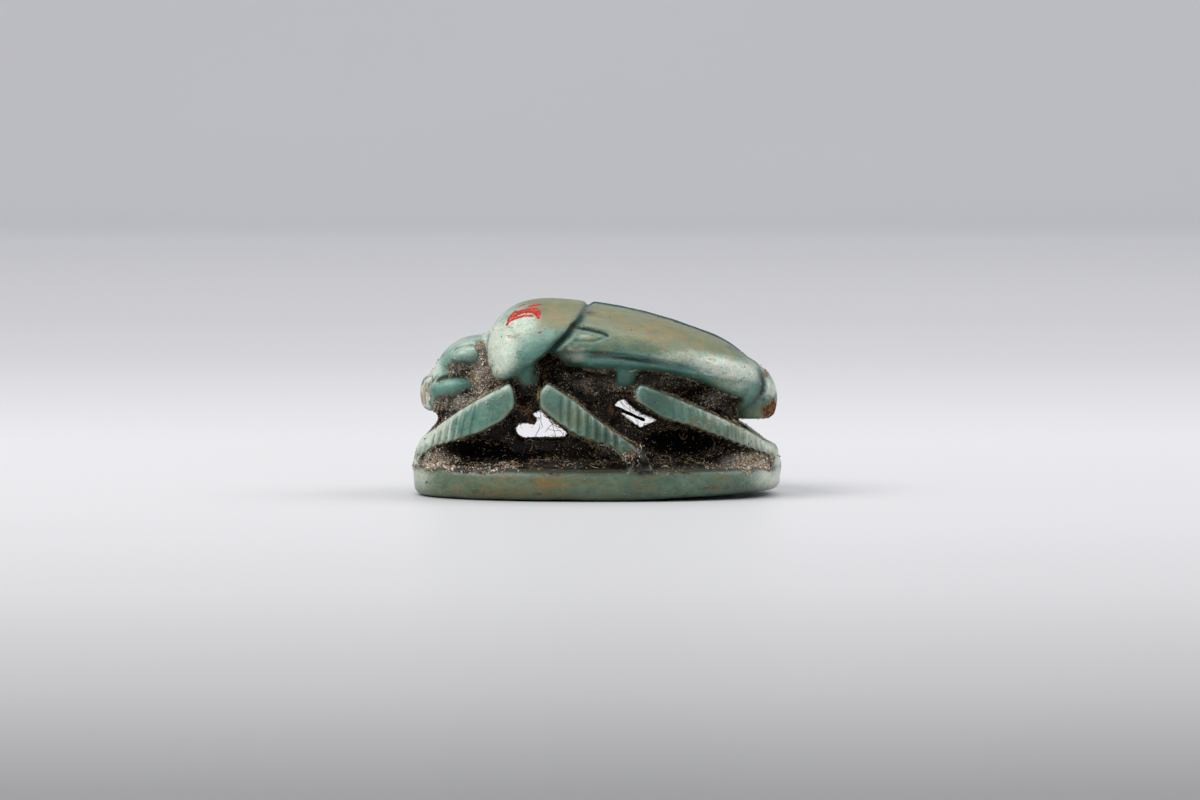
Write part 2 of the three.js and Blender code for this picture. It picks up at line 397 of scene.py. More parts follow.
def arc_from_middle(x):
    """Length along the base outline from its middle to x, in plan."""
    xs = np.linspace(0, LENGTH / 2 - 1e-3, 2000)
    ys = WIDTH / 2 * (1 - (xs / (LENGTH / 2)) ** OVAL_N) ** (1 / OVAL_N)
    s = np.concatenate([[0], np.cumsum(np.hypot(np.diff(xs), np.diff(ys)))])
    return np.sign(x) * np.interp(np.abs(x), xs, s)


def ellipsoid(g, c, r, rot=0.0, yaw=0.0):
    """rot tilts it in the side view, yaw turns it in plan."""
    dx, dy, dz = g.X - c[0], g.Y - c[1], g.Z - c[2]
    cy, sy = np.cos(yaw), np.sin(yaw)
    ux, uy = dx * cy + dy * sy, -dx * sy + dy * cy
    cr, sr = np.cos(rot), np.sin(rot)
    vx, vz = ux * cr + dz * sr, -ux * sr + dz * cr
    k0 = np.sqrt((vx / r[0]) ** 2 + (uy / r[1]) ** 2 + (vz / r[2]) ** 2)
    k1 = np.sqrt((vx / r[0] ** 2) ** 2 + (uy / r[1] ** 2) ** 2 + (vz / r[2] ** 2) ** 2)
    return (k0 * (k0 - 1) / np.maximum(k1, 1e-6)).astype(f32)


def groove(g, d, pts, width, depth, ymin=0.0, fade=0.4, ends=True):
    """Cuts a rounded line into the surface, along a polyline given in the side view. depth may change along it."""
    dist, place = seg_distance(g.x[:, None], g.z[None, :], pts)
    if not np.isscalar(depth):
        depth = np.interp(place, np.linspace(0, 1, len(depth)), depth)
    prof = np.exp(-((dist / (width / 2)) ** 2)) * depth
    if ends:
        prof = prof * (
            0.35 + 0.65 * np.minimum(1, np.minimum(place, 1 - place) * 8 + 0.2)
        )
    side = sstep(ymin, ymin + fade, -g.y) if ymin > 0 else np.ones_like(g.y)
    return d + (prof[:, None, :] * side[None, :, None]).astype(f32)


def vnoise(p, scale, seed):
    """Smooth value noise in [-1, 1] at points p (N, 3), with features of about scale."""
    rng = np.random.default_rng(seed)
    n = 32
    lattice = rng.uniform(-1, 1, (n, n, n)).astype(f32)
    q = p / scale + 100.0
    i = np.floor(q).astype(np.int32)
    f = (q - i).astype(f32)
    f = f * f * (3 - 2 * f)
    i &= n - 1
    j = (i + 1) & (n - 1)
    flat = lattice.ravel()
    x0, x1 = i[:, 0] * (n * n), j[:, 0] * (n * n)
    y0, y1 = i[:, 1] * n, j[:, 1] * n
    z0, z1 = i[:, 2], j[:, 2]
    fx, fy, fz = f[:, 0], f[:, 1], f[:, 2]

    def mix(a, b, t):
        return a + (b - a) * t

    return mix(
        mix(
            mix(flat[x0 + y0 + z0], flat[x1 + y0 + z0], fx),
            mix(flat[x0 + y1 + z0], flat[x1 + y1 + z0], fx),
            fy,
        ),
        mix(
            mix(flat[x0 + y0 + z1], flat[x1 + y0 + z1], fx),
            mix(flat[x0 + y1 + z1], flat[x1 + y1 + z1], fx),
            fy,
        ),
        fz,
    )


def fbm(p, scale, seed, octaves=3, gain=0.5):
    out, amp, tot = 0, 1.0, 0.0
    for o in range(octaves):
        out = out + amp * vnoise(p, scale / 2**o, seed + 17 * o)
        tot += amp
        amp *= gain
    return out / tot


def blur(a, r):
    """Three box passes along each axis: close to a Gaussian whose sigma is about r voxels."""
    for axis in range(3):
        n = a.shape[axis]
        hi = np.minimum(np.arange(n) + r, n - 1)
        lo = np.arange(n) - r - 1
        shape = [1, 1, 1]
        shape[axis] = n
        keep = (lo >= 0).reshape(shape).astype(f32)
        for _ in range(3):
            c = np.cumsum(a, axis=axis, dtype=f32)
            a = (
                np.take(c, hi, axis) - np.take(c, np.maximum(lo, 0), axis) * keep
            ) / f32(2 * r + 1)
    return a


def blob(x, z, cx, cz, rx, rz):
    return np.exp(-(((x - cx) / rx) ** 2 + ((z - cz) / rz) ** 2))


# ------------------------------------------------------------------------------------------------------------------
# The carving, before wear and soil
# ------------------------------------------------------------------------------------------------------------------
def carve(h):
    g = Grid(h)
    X, Y, Z = g.X, g.Y, g.Z
    px, pz = g.x[:, None], g.z[None, :]

    # base plate, whose underside is worn upwards at the tail
    oval = oval_distance(g, LENGTH / 2, WIDTH / 2)
    lift = (0.042 * np.maximum(0, g.x - 1.9))[:, None, None]
    base = smax(oval, Z - BASE_T - 0.4 * sstep(0.15, 2.4, -oval), 0.42)
    base = smax(base, lift - Z, 0.85 - 0.3 * sstep(6.5, 8.7, np.abs(X)))

    # legs: bands standing in a wall that follows the base outline
    shell = smax(oval + 0.02, -(oval + WALL_T), 0.25)
    legs = None
    for outline, ribs, lean in LEGS.values():
        band = soften(poly_sdf(px, pz, outline), h, 0.16)
        s = arc_from_middle(px - lean * (pz - 3.5))
        s0, s1 = arc_from_middle(ribs[0]), arc_from_middle(ribs[1])
        prof = (0.5 + 0.5 * np.cos(2 * np.pi * (s - s0) / RIB_PITCH)) ** 1.6
        lim = sstep(s0 - 0.15, s0 + 0.1, s) * (1 - sstep(s1 - 0.1, s1 + 0.15, s))
        low = (s - s0) / (s1 - s0) if ribs[0] > -3 else (s1 - s) / (s1 - s0)
        lim = lim * (0.6 + 0.4 * sstep(0.1, 0.6, low)) * (1 - 0.6 * sstep(7.7, 8.5, np.abs(px)))
        rib = 0.19 * prof * lim * sstep(0.02, -0.1, band)
        down = sstep(-0.2, -0.7, np.gradient(band, h, axis=1))
        band = band + 0.07 * (1 - prof) * lim * down  # ribs that notch the lower edge
        crown = 0.08 * np.clip(1 + band / 0.5, 0, 1) ** 2  # a slightly convex face
        leg = smax(shell + (rib + crown)[:, None, :].astype(f32), g.side(band), 0.12)
        legs = leg if legs is None else smin(legs, leg, 0.1)
        g.ribs.append((prof, lim, band))

    # the two ends of the wall, where the base runs up into the legs
    ends = smax(smax(oval, -(oval + WALL_T), 0.25), np.abs(Z - 1.7) - 0.65, 0.2)
    ends = smax(ends, 8.5 + 0.22 * (X < 0) - np.abs(X) + 0.25 * (Z - 1.6), 0.4)
    plug = smax(smax(oval + 0.4, np.abs(Z - 1.6) - 0.8, 0.3), 7.3 - np.abs(X), 0.5)
    ends = smin(ends, plug, 0.2)

    # core behind the legs
    core = smax(
        smax(oval + 0.45, -Y - 3.3 + 0.12 * (Z - 3), 0.5),
        g.side(poly_sdf(px, pz, CORE)),
        0.3,
    )
    flare = (0.5 * sstep(1.6, 3.2, -g.y) - 0.4)[None, :, None].astype(f32)
    gaps = np.minimum(
        g.side(poly_sdf(px, pz, GAP_FRONT)), g.side(poly_sdf(px, pz, GAP_REAR))
    )
    core = smax(core, -(gaps - flare), 0.25)
    for c, r in POCKETS:
        core = smax(core, -ellipsoid(g, c, r), 0.5)

    body = rounded3(g, BODY, 9, front=14)
    belly = rounded3(g, BELLY, 7, front=5)
    head = rounded3(g, HEAD, 7, 0.66)
    tail = smax(ellipsoid(g, (7.33, 0, 4.7), (1.5, 2.7, 1.8)), 3.75 - Z, 0.2)

    # head: a front plate with a notched rim, a lobe for each cheek and each eye
    bulge = 0.55 * np.clip(np.abs(Z - 4.95) / 0.85, 0, 1.5) ** 2.2
    plan = (np.sqrt(((X + 7.1) / 1.55) ** 2 + (Y / 2.6) ** 2) - 1) * 1.7
    notch = 0.16 * np.exp(-((Y / 0.24) ** 2)) + 0.12 * np.cos(Y * 3.6) ** 4
    plate = smax((plan + notch + 0.45 * bulge).astype(f32), np.abs(Z - 4.9) - 0.8, 0.25)
    plate = smax(plate, X + 7.0, 0.2)
    head = smin(head, plate, 0.3)
    hollow = 0.24 * blob(X, Z, -6.6, 6.2, 0.95, 0.4) * sstep(1.5, 2.2, -Y)
    head = head + hollow.astype(f32)
    eye = ellipsoid(g, (-6.3, -2.36, 6.88), (0.85, 0.68, 0.46), 0.14, -0.1)
    head = smin(head, eye, 0.1)
    cheek = ellipsoid(g, (-7.08, -2.5, 5.3), (1.16, 0.62, 0.52), 0.14, -0.4)
    head = groove(
        g,
        head,
        [(-7.0, 7.02), (-6.85, 7.16), (-6.58, 7.28), (-6.28, 7.34), (-5.97, 7.36)],
        0.12,
        0.09,
        1.2,
    )
    head = groove(g, head, [(-8.1, 5.45), (-7.91, 5.68), (-7.72, 5.93)], 0.13, 0.09, 1.2)
    head = groove(g, head, [(-8.16, 5.5), (-8.2, 5.1), (-8.12, 4.7)], 0.17, 0.16, 0.8)
    head = smin(head, cheek, 0.07)
    head = groove(
        g,
        head,
        [(-7.85, 5.55), (-7.55, 5.74), (-7.23, 5.82), (-6.91, 5.86), (-6.3, 5.86)],
        0.15,
        0.15,
        1.5,
    )

    # pronotum and wing cases are one dome, parted by lines, with a strip of the belly below
    body = groove(g, body, SUTURE, 0.29, (0.12, 0.18, 0.28, 0.34, 0.36, 0.36), ends=False)
    body = groove(g, body, SHOULDER[0], 0.17, 0.15, 1.0)
    body = groove(g, body, SHOULDER[1], 0.13, 0.07, 1.0)
    body = groove(g, body, SHOULDER[2], 0.12, 0.07, 1.0)
    wedge = 0.07 * np.exp(
        -(((px + 0.65) / 0.5) ** 2 + ((pz - 7.93 + 0.12 * (px + 0.6)) / 0.16) ** 2)
    )
    body = body + wedge[:, None, :].astype(f32) * sstep(1.0, 1.6, -Y)
    seam = 0.08 * np.exp(-(((-Y - 0.4) / 0.14) ** 2)) - 0.09 * np.exp(-((Y / 0.17) ** 2))
    seam = seam * sstep(-0.5, -0.2, X) * (1 - 0.8 * sstep(5.5, 7.5, X)) * sstep(6.0, 6.3, Z)
    body = body + seam.astype(f32)
    back = smin(body, belly, 0.06 + 0.7 * sstep(3.6, 6.6, X) + 0.4 * (1 - sstep(-1.3, -0.3, X)))
    back = groove(
        g, back, WING_EDGE, 0.22, (0.0, 0.03, 0.12, 0.2, 0.12, 0.05, 0.03, 0.02), 1.5, ends=False
    )
    back = smin(back, tail, 0.3)
    back = groove(g, back, TAIL_LINE, 0.42, (0.06, 0.16, 0.22, 0.2, 0.14), ends=False)

    # what is left of the upper legs, between the body and the knees
    stubs = None
    for cx, cz, reach, hx, hz, turn in (
        (-3.35, 5.75, 4.35, 0.55, 0.7, 0.1),
        (1.4, 6.0, 5.15, 0.46, 0.68, -0.15),
    ):
        ux = (px - cx) + turn * (pz - cz)
        q = smax(np.abs(ux) - hx, np.abs(pz - cz) - hz, 0.3)
        q = smax(g.side(q), -Y - reach - 0.5 * (Z - cz), 0.4)
        stubs = q if stubs is None else np.minimum(stubs, q)

    upper = smin(smin(back, head, 0.2), stubs, 0.28)
    lower = smin(smin(base, ends, 0.15), core, 0.15)
    stone = smin(smin(upper, lower, 0.15), legs, 0.07 + 0.5 * sstep(7.9, 8.6, np.abs(X)))
    cap = oval - 0.03 - 2.0 * (1 - sstep(7.9, 8.5, np.abs(X))) - 2.0 * sstep(2.9, 3.4, Z)
    stone = smax(stone, cap.astype(f32), 0.15)
    bore = np.broadcast_to(np.sqrt(Y * Y + (Z - BORE_Z) ** 2) - BORE_R, g.shape)
    stone = smax(stone, -bore.astype(f32), 0.15)
    # a line cut round the underside
    ring = 0.09 * np.exp(-(((oval + 0.75) / 0.1) ** 2)) * sstep(0.5, 0.2, Z)
    return g, (stone + ring.astype(f32)).astype(f32), oval


# ------------------------------------------------------------------------------------------------------------------
# Both halves, with uneven carving, worn edges, chips, and soil in the recesses
# ------------------------------------------------------------------------------------------------------------------
def weather(g, half, oval):
    h = g.h
    d = np.concatenate([half, half[:, ::-1]], 1)
    ov = np.concatenate([oval, oval[:, ::-1]], 1)
    y = np.concatenate([g.y, -g.y[::-1]])
    occ = np.clip(0.5 - d / h, 0, 1).astype(f32)
    wide = blur(occ, max(1, int(round(0.40 / h))))
    fine = blur(occ, max(1, int(round(0.15 / h))))
    idx = np.nonzero(np.abs(d) < 0.55)
    P = np.stack([g.x[idx[0]], y[idx[1]], g.z[idx[2]]], 1).astype(f32)
    x_, y_, z_ = P[:, 0], np.abs(P[:, 1]), P[:, 2]
    dn = d[idx]
    dn = dn + 0.028 * fbm(P, 1.5, 3, 2) + 0.009 * fbm(P, 0.4, 9, 2)
    c = fine[idx]
    edge = np.clip((0.42 - c) / 0.2, 0, 1)
    dn = dn + edge * (0.015 + 0.15 * np.clip(vnoise(P, 0.5, 21) - 0.4, 0, 1))

    # where soil stays, and how thickly
    o_ = ov[idx]
    n0 = fbm(P, 0.55, 37, 3, 0.6)
    above = np.maximum(
        sstep(5.0, 5.5, z_), sstep(-5.4, -5.8, x_) * sstep(4.2, 4.6, z_)
    )
    rearward = 0.3 + 0.32 * sstep(1.0, 2.6, x_)
    inside = sstep(0.0, 1.0, (-0.3 - rearward * above - o_ + 0.12 * n0) / (0.3 + 0.35 * above))
    recess = inside * sstep(1.3, 1.5, z_) * (1 - sstep(6.2, 6.6, z_))
    recess = np.maximum(
        recess, inside * sstep(1.3, 1.5, z_) * (z_ < 7.2) * (c > 0.58)
    )
    stub = np.clip(blob(x_, z_, -3.3, 5.85, 0.55, 0.35) * 1.6, 0, 1)
    recess = recess * (1 - (0.62 + 0.35 * n0) * stub * (y_ > 3))
    neck = (
        sstep(-0.3, 0.3, x_ + 5.85 - 0.35 * sstep(6.6, 6.2, z_) + 0.3 * (z_ - 7) + 0.5 * n0)
        * (1 - sstep(-5.5, -5.3, x_))
        * sstep(4.9, 5.2, z_)
        * (1 - sstep(7.3, 7.75, z_ + 0.2 * n0))
    )
    hollow = np.clip(1.5 * blob(x_, z_, -6.6, 6.3, 0.7, 0.36), 0, 1) * (y_ > 1.4)
    chin = sstep(0.1, -0.1, z_ - 4.72 - 0.34 * (x_ + 8.1) + 0.12 * n0)
    chin = chin * (1 - sstep(-5.5, -5.0, x_)) * sstep(-8.05, -7.8, x_ + 0.1 * n0)
    under_lip = 0.8 * (z_ > 4.1) * (x_ < -7.2)
    chin = chin * sstep(1.3, 1.5, z_) * sstep(-0.2, -0.4, o_ + 0.3 * (z_ > 3.6) - under_lip)
    rear = sstep(4.2, 5.6, x_) * np.exp(
        -(((z_ - 6.02 + 0.26 * (x_ - 5.3)) / 0.22) ** 2)
    )
    rear = rear * (x_ < 7.6) * 0.75
    strand = sstep(1.3, 1.9, x_ + 0.3 * n0) * (1 - sstep(3.0, 3.3, x_))
    strand = 0.8 * strand * sstep(1.3, 1.45, z_) * (1 - sstep(1.55, 1.95, z_ + 0.35 * n0))
    ax_ = np.abs(x_) - 0.16 * (x_ < 0)
    tips = sstep(8.1, 8.4, ax_) * (1 - sstep(1.9, 2.2, z_ + 0.3 * n0))
    tips = np.maximum(tips, sstep(7.0, 7.4, ax_) * sstep(-0.15, -0.3, o_) * (1 - sstep(2.4, 2.7, z_)))
    tips = tips * (1 - sstep(8.5, 8.75, ax_ + 0.25 * n0))
    tips = (0.7 + 0.35 * n0) * tips * sstep(1.3, 1.5, z_)
    film = np.maximum.reduce([recess, neck, hollow * 0.7, chin, strand, tips])
    film = np.maximum(film, np.clip(1.6 * blob(x_, z_, -2.35, 6.6, 0.35, 0.3), 0, 1))
    keep = np.clip(1.9 * blob(x_, z_, -1.05, 6.78, 1.15, 0.36), 0, 1) * (y_ > 3)
    clear = sstep(6.5, 7.0, x_) * (1 - sstep(4.4, 4.8, z_)) * sstep(2.3, 2.8, z_)
    film = np.clip(film, 0, 1) * (1 - keep) * (1 - 0.85 * clear)
    n1 = fbm(P, 0.9, 41, 3)
    n2 = fbm(P, 0.2, 57, 3, 0.6)
    corner = sstep(1.25, 1.5, z_) * (1 - sstep(6.9, 7.6, z_)) * (1 - keep)
    tau = 1.05 - 0.42 * corner * (1 - 0.6 * clear)
    tau = tau + (0.465 - tau) * film
    tau = tau + (0.54 - tau) * rear * (1 - film)
    tau = tau + 0.055 * n1 * (0.35 + 0.65 * film)
    soil = (tau - wide[idx]) * 1.15 + 0.045 * n2
    rim = sstep(0.02, -0.3, o_ + 0.12 * n0) * sstep(1.15, 1.4, z_) * (1 - sstep(1.5, 1.8, z_))
    rim = rim * (1 - sstep(8.45, 8.8, np.abs(x_) + 0.3 * n0))
    thin = 0.43 + 0.3 * sstep(-0.3, -1.0, o_) + 0.26 * n0
    thin = thin - 0.22 * np.exp(-(((x_ + 4.6) / 1.5) ** 2)) + 0.3 * sstep(6.3, 6.9, np.abs(x_))
    lay = np.maximum(sstep(0.25, 0.8, film), thin * rim)
    lay = np.where((strand > 0.2) & (o_ > -0.5), np.minimum(lay, 0.78), lay)
    soil = np.minimum(soil, dn + 0.16 - lay * (0.21 + 0.05 * n1) + 0.03 * n2)
    both = smin(dn, soil, 0.02)
    out = d.copy()
    out[idx] = both
    mask = np.full(d.shape, -1, f32)
    mask[idx] = dn - soil
    # the two gaps, cleared of soil along one line of sight, with ragged rims
    holes = np.minimum(
        poly_sdf(g.x[:, None], g.z[None, :], GAP_FRONT),
        poly_sdf(g.x[:, None], g.z[None, :], GAP_REAR),
    ).astype(f32)
    cut = np.full(d.shape, 1.0, f32)
    for j in np.nonzero(np.abs(y) < 4.2)[0]:
        move = (y[j] + 0.85) * math.tan(math.radians(3)) / h
        k = int(math.floor(move))
        t = f32(move - k)
        a, b = np.roll(holes, -k, 1), np.roll(holes, -k - 1, 1)
        cut[:, j] = a * (1 - t) + b * t
    near = np.nonzero((np.abs(cut) < 0.3) & (np.abs(out) < 0.6))
    q = np.stack([g.x[near[0]], y[near[1]] * 0.35, g.z[near[2]]], 1).astype(f32)
    cut[near] += 0.05 * fbm(q, 0.3, 91, 3, 0.7) - 0.02
    core_only = (ov < -0.9) & (cut < 0.6)
    cut = np.where(core_only, cut, 1.0)
    mask = np.where((-cut > out - 0.03) & core_only, np.maximum(mask, 0.2), mask)
    out = np.where(core_only, smax(out, -cut, 0.04), out).astype(f32)
    # a strand of soil that bridges the rear gap
    i0, i1 = np.searchsorted(g.x, (0.6, 2.6))
    j0, j1 = np.searchsorted(y, (-1.4, -0.4))
    k0, k1 = np.searchsorted(g.z, (3.3, 4.7))
    box = np.s_[i0:i1, j0:j1, k0:k1]
    bx, by, bz = np.meshgrid(g.x[i0:i1], y[j0:j1], g.z[k0:k1], indexing="ij")
    q = np.stack([bx.ravel(), by.ravel(), bz.ravel()], 1).astype(f32)
    rough = fbm(q, 0.22, 97, 2).reshape(bx.shape)
    bar = np.sqrt(seg3(bx, bz, (0.8, 4.3), (2.3, 3.64)) ** 2 + (by + 0.9) ** 2)
    bar = (bar - 0.075 - 0.05 * rough).astype(f32)
    mask[box] = np.where(bar < out[box], 0.3, mask[box])
    out[box] = np.minimum(out[box], bar)
    return out, mask, fine, wide, y


def seg3(x, z, a, b):
    dx, dz = b[0] - a[0], b[1] - a[1]
    t = np.clip(((x - a[0]) * dx + (z - a[1]) * dz) / (dx * dx + dz * dz), 0, 1)
    return np.hypot(x - a[0] - t * dx, z - a[1] - t * dz)


def surface_nets(F, origin, h):
    """The zero surface of F as triangles, outward side up."""
    ins = F < 0
    c = ins.astype(np.uint8)
    n = np.zeros(tuple(s - 1 for s in F.shape), np.uint8)
    for a in (0, 1):
        for b in (0, 1):
            for e in (0, 1):
                n += c[
                    a : a + n.shape[0], b : b + n.shape[1], e : e + n.shape[2]
                ]
    active = (n > 0) & (n < 8)
    cells = np.argwhere(active)
    idx = np.full(n.shape, -1, np.int32)
    idx[active] = np.arange(len(cells), dtype=np.int32)
    i, j, k = cells.T
    corner = {
        (a, b, e): F[i + a, j + b, k + e]
        for a in (0, 1)
        for b in (0, 1)
        for e in (0, 1)
    }
    pos = np.zeros((len(cells), 3), f32)
    num = np.zeros(len(cells), f32)
    for p in corner:
        for axis in range(3):
            if p[axis]:
                continue
            q = tuple(1 if m == axis else p[m] for m in range(3))
            u, v = corner[p], corner[q]
            cross = (u < 0) != (v < 0)
            t = np.where(cross, u / np.where(cross, u - v, 1), 0)
            point = np.array(p, f32)[None, :] + np.zeros((len(cells), 3), f32)
            point[:, axis] = t
            pos += point * cross[:, None]
            num += cross
    verts = (cells + pos / num[:, None]) * h + np.array(origin)
    quads = []
    for axis in range(3):
        b, e = (axis + 1) % 3, (axis + 2) % 3
        lo = [slice(None)] * 3
        hi = [slice(None)] * 3
        lo[axis], hi[axis] = slice(0, -1), slice(1, None)
        for m in (b, e):
            lo[m] = hi[m] = slice(1, -1)
        first, second = ins[tuple(lo)], ins[tuple(hi)]
        where = np.argwhere(first != second)
        out = first[tuple(where.T)]
        base = where.copy()
        base[:, b] += 1
        base[:, e] += 1
        ring = []
        for db, de in ((-1, -1), (0, -1), (0, 0), (-1, 0)):
            cell = base.copy()
            cell[:, b] += db
            cell[:, e] += de
            ring.append(idx[tuple(cell.T)])
        ring = np.stack(ring, 1)
        ring[~out] = ring[~out][:, ::-1]
        quads.append(ring)
    quads = np.concatenate(quads)
    d0 = np.linalg.norm(verts[quads[:, 0]] - verts[quads[:, 2]], axis=1)
    d1 = np.linalg.norm(verts[quads[:, 1]] - verts[quads[:, 3]], axis=1)
    m = (d0 <= d1)[:, None]
    t0 = np.where(m, quads[:, [0, 1, 2]], quads[:, [0, 1, 3]])
    t1 = np.where(m, quads[:, [0, 2, 3]], quads[:, [1, 2, 3]])
    return verts, np.concatenate([t0, t1])


def largest_part(verts, tris):
    """Only the largest connected part, so that nothing floats."""
    label = np.arange(len(verts))
    e = np.concatenate([tris[:, [0, 1]], tris[:, [1, 2]]])
    for _ in range(200):
        low = np.minimum(label[e[:, 0]], label[e[:, 1]])
        new = label.copy()
        np.minimum.at(new, e[:, 0], low)
        np.minimum.at(new, e[:, 1], low)
        new = new[new]
        new = new[new]
        if np.array_equal(new, label):
            break
        label = new
    kept = np.bincount(label[tris[:, 0]]).argmax()
    tris = tris[label[tris[:, 0]] == kept]
    used = np.unique(tris)
    renumber = np.full(len(verts), -1, np.int64)
    renumber[used] = np.arange(len(used))
    return verts[used], renumber[tris]


class Sampler:
    """Values of a field between its grid points."""

    def __init__(self, origin, h):
        self.o, self.h = np.array(origin, float), h

    def __call__(self, F, p):
        q = (p - self.o) / self.h
        top = np.array(F.shape) - 1.001
        q = np.clip(q, 0, top)
        i = q.astype(np.int64)
        f = (q - i).astype(f32)
        fx, fy, fz = f[:, 0], f[:, 1], f[:, 2]
        i, j, k = i.T
        out = 0
        for a, wx in ((0, 1 - fx), (1, fx)):
            for b, wy in ((0, 1 - fy), (1, fy)):
                for c, wz in ((0, 1 - fz), (1, fz)):
                    out = out + F[i + a, j + b, k + c] * wx * wy * wz
        return out

    def gradient(self, F, p, e):
        g = np.stack(
            [
                self(F, p + np.eye(3)[a] * e) - self(F, p - np.eye(3)[a] * e)
                for a in range(3)
            ],
            1,
        )
        return g / np.maximum(np.linalg.norm(g, axis=1, keepdims=True), 1e-9)


# ------------------------------------------------------------------------------------------------------------------
# Mesh helpers
# ------------------------------------------------------------------------------------------------------------------
def new_mesh(name, verts, tris):
    """A mesh from points in millimetres."""
    me = bpy.data.meshes.new(name)
    me.vertices.add(len(verts))
    me.vertices.foreach_set("co", (np.asarray(verts) * MM).astype(f32).ravel())
    me.loops.add(len(tris) * 3)
    me.loops.foreach_set("vertex_index", np.asarray(tris, np.int32).ravel())
    me.polygons.add(len(tris))
    me.polygons.foreach_set("loop_start", np.arange(0, len(tris) * 3, 3, dtype=np.int32))
    me.polygons.foreach_set("loop_total", np.full(len(tris), 3, np.int32))
    me.update(calc_edges=True)
    me.validate()
    return me


def new_object(name, me, smooth=True):
    o = bpy.data.objects.new(name, me)
    bpy.context.scene.collection.objects.link(o)
    if smooth:
        me.polygons.foreach_set("use_smooth", np.ones(len(me.polygons), bool))
    return o


def points(me):
    co = np.empty(len(me.vertices) * 3, f32)
    me.vertices.foreach_get("co", co)
    return co.reshape(-1, 3) / MM


def set_attribute(me, name, values):
    a = me.attributes.new(name, "FLOAT", "POINT")
    a.data.foreach_set("value", np.asarray(values, f32))


def set_colour(me, name, rgb):
    a = me.attributes.new(name, "FLOAT_COLOR", "POINT")
    a.data.foreach_set(
        "color", np.concatenate([rgb, np.ones((len(rgb), 1))], 1).astype(f32).ravel()
    )


# ------------------------------------------------------------------------------------------------------------------
# Shader helpers
# ------------------------------------------------------------------------------------------------------------------
class Shader:
    def __init__(self, name):
        self.mat = bpy.data.materials.new(name)
        self.mat.use_nodes = True
        self.nt = self.mat.node_tree
        self.nt.nodes.clear()
        self.out = self.nt.nodes.new("ShaderNodeOutputMaterial")
        self.bsdf = self.nt.nodes.new("ShaderNodeBsdfPrincipled")
        self.nt.links.new(self.bsdf.outputs[0], self.out.inputs["Surface"])
        tc = self.nt.nodes.new("ShaderNodeTexCoord")
        scale = self.nt.nodes.new("ShaderNodeVectorMath")
        scale.operation = "SCALE"
        scale.inputs["Scale"].default_value = 1 / MM
        self.nt.links.new(tc.outputs["Object"], scale.inputs[0])
        self.P = scale.outputs[0]  # the place in millimetres

    def put(self, socket, value):
        if isinstance(value, bpy.types.NodeSocket):
            self.nt.links.new(value, socket)
        else:
            socket.default_value = value

    def attr(self, name, colour=False):
        n = self.nt.nodes.new("ShaderNodeAttribute")
        n.attribute_name = name
        return n.outputs["Color" if colour else "Fac"]

    def math(self, op, a, b=0.0, c=0.0, clamp=False):
        n = self.nt.nodes.new("ShaderNodeMath")
        n.operation, n.use_clamp = op, clamp
        for s, v in zip(n.inputs, (a, b, c)):
            self.put(s, v)
        return n.outputs[0]

    def add(self, a, b):
        return self.math("ADD", a, b)

    def mul(self, a, b):
        return self.math("MULTIPLY", a, b)

    def mad(self, a, b, c):
        return self.math("MULTIPLY_ADD", a, b, c)

    def step(self, value, lo, hi, top=1.0):
        n = self.nt.nodes.new("ShaderNodeMapRange")
        n.interpolation_type = "SMOOTHSTEP"
        self.put(n.inputs["Value"], value)
        self.put(n.inputs["From Min"], lo)
        self.put(n.inputs["From Max"], hi)
        n.inputs["To Min"].default_value = 0.0
        n.inputs["To Max"].default_value = top
        return n.outputs[0]

    def mix(self, fac, a, b, blend="MIX"):
        n = self.nt.nodes.new("ShaderNodeMix")
        n.data_type, n.blend_type = "RGBA", blend
        self.put(n.inputs[0], fac)
        for s, v in ((n.inputs[6], a), (n.inputs[7], b)):
            self.put(s, (*v, 1.0) if isinstance(v, tuple) else v)
        return n.outputs[2]

    def ramp(self, fac, stops):
        n = self.nt.nodes.new("ShaderNodeValToRGB")
        r = n.color_ramp
        while len(r.elements) < len(stops):
            r.elements.new(0.5)
        for e, (at, rgb) in zip(r.elements, stops):
            e.position, e.color = at, (*rgb, 1.0)
        self.put(n.inputs[0], fac)
        return n.outputs[0]

    def stretch(self, scale, offset=(0, 0, 0), turn=(0, 0, 0)):
        n = self.nt.nodes.new("ShaderNodeMapping")
        self.put(n.inputs[0], self.P)
        n.inputs["Scale"].default_value = scale
        n.inputs["Location"].default_value = offset
        n.inputs["Rotation"].default_value = turn
        return n.outputs[0]

    def noise(self, scale, detail=3.0, rough=0.5, vec=None, distort=0.0):
        n = self.nt.nodes.new("ShaderNodeTexNoise")
        self.put(n.inputs["Vector"], self.P if vec is None else vec)
        n.inputs["Scale"].default_value = scale
        n.inputs["Detail"].default_value = detail
        n.inputs["Roughness"].default_value = rough
        n.inputs["Distortion"].default_value = distort
        return n.outputs["Fac"]

    def cells(self, scale, vec=None, colour=False):
        n = self.nt.nodes.new("ShaderNodeTexVoronoi")
        self.put(n.inputs["Vector"], self.P if vec is None else vec)
        n.inputs["Scale"].default_value = scale
        return n.outputs["Color"] if colour else n.outputs["Distance"]

    def channel(self, colour, name="Red"):
        n = self.nt.nodes.new("ShaderNodeSeparateColor")
        self.put(n.inputs[0], colour)
        return n.outputs[name]

    def bump(self, height, strength, distance, normal=None):
        n = self.nt.nodes.new("ShaderNodeBump")
        n.inputs["Strength"].default_value = strength
        n.inputs["Distance"].default_value = distance
        self.put(n.inputs["Height"], height)
        if normal is not None:
            self.put(n.inputs["Normal"], normal)
        return n.outputs[0]


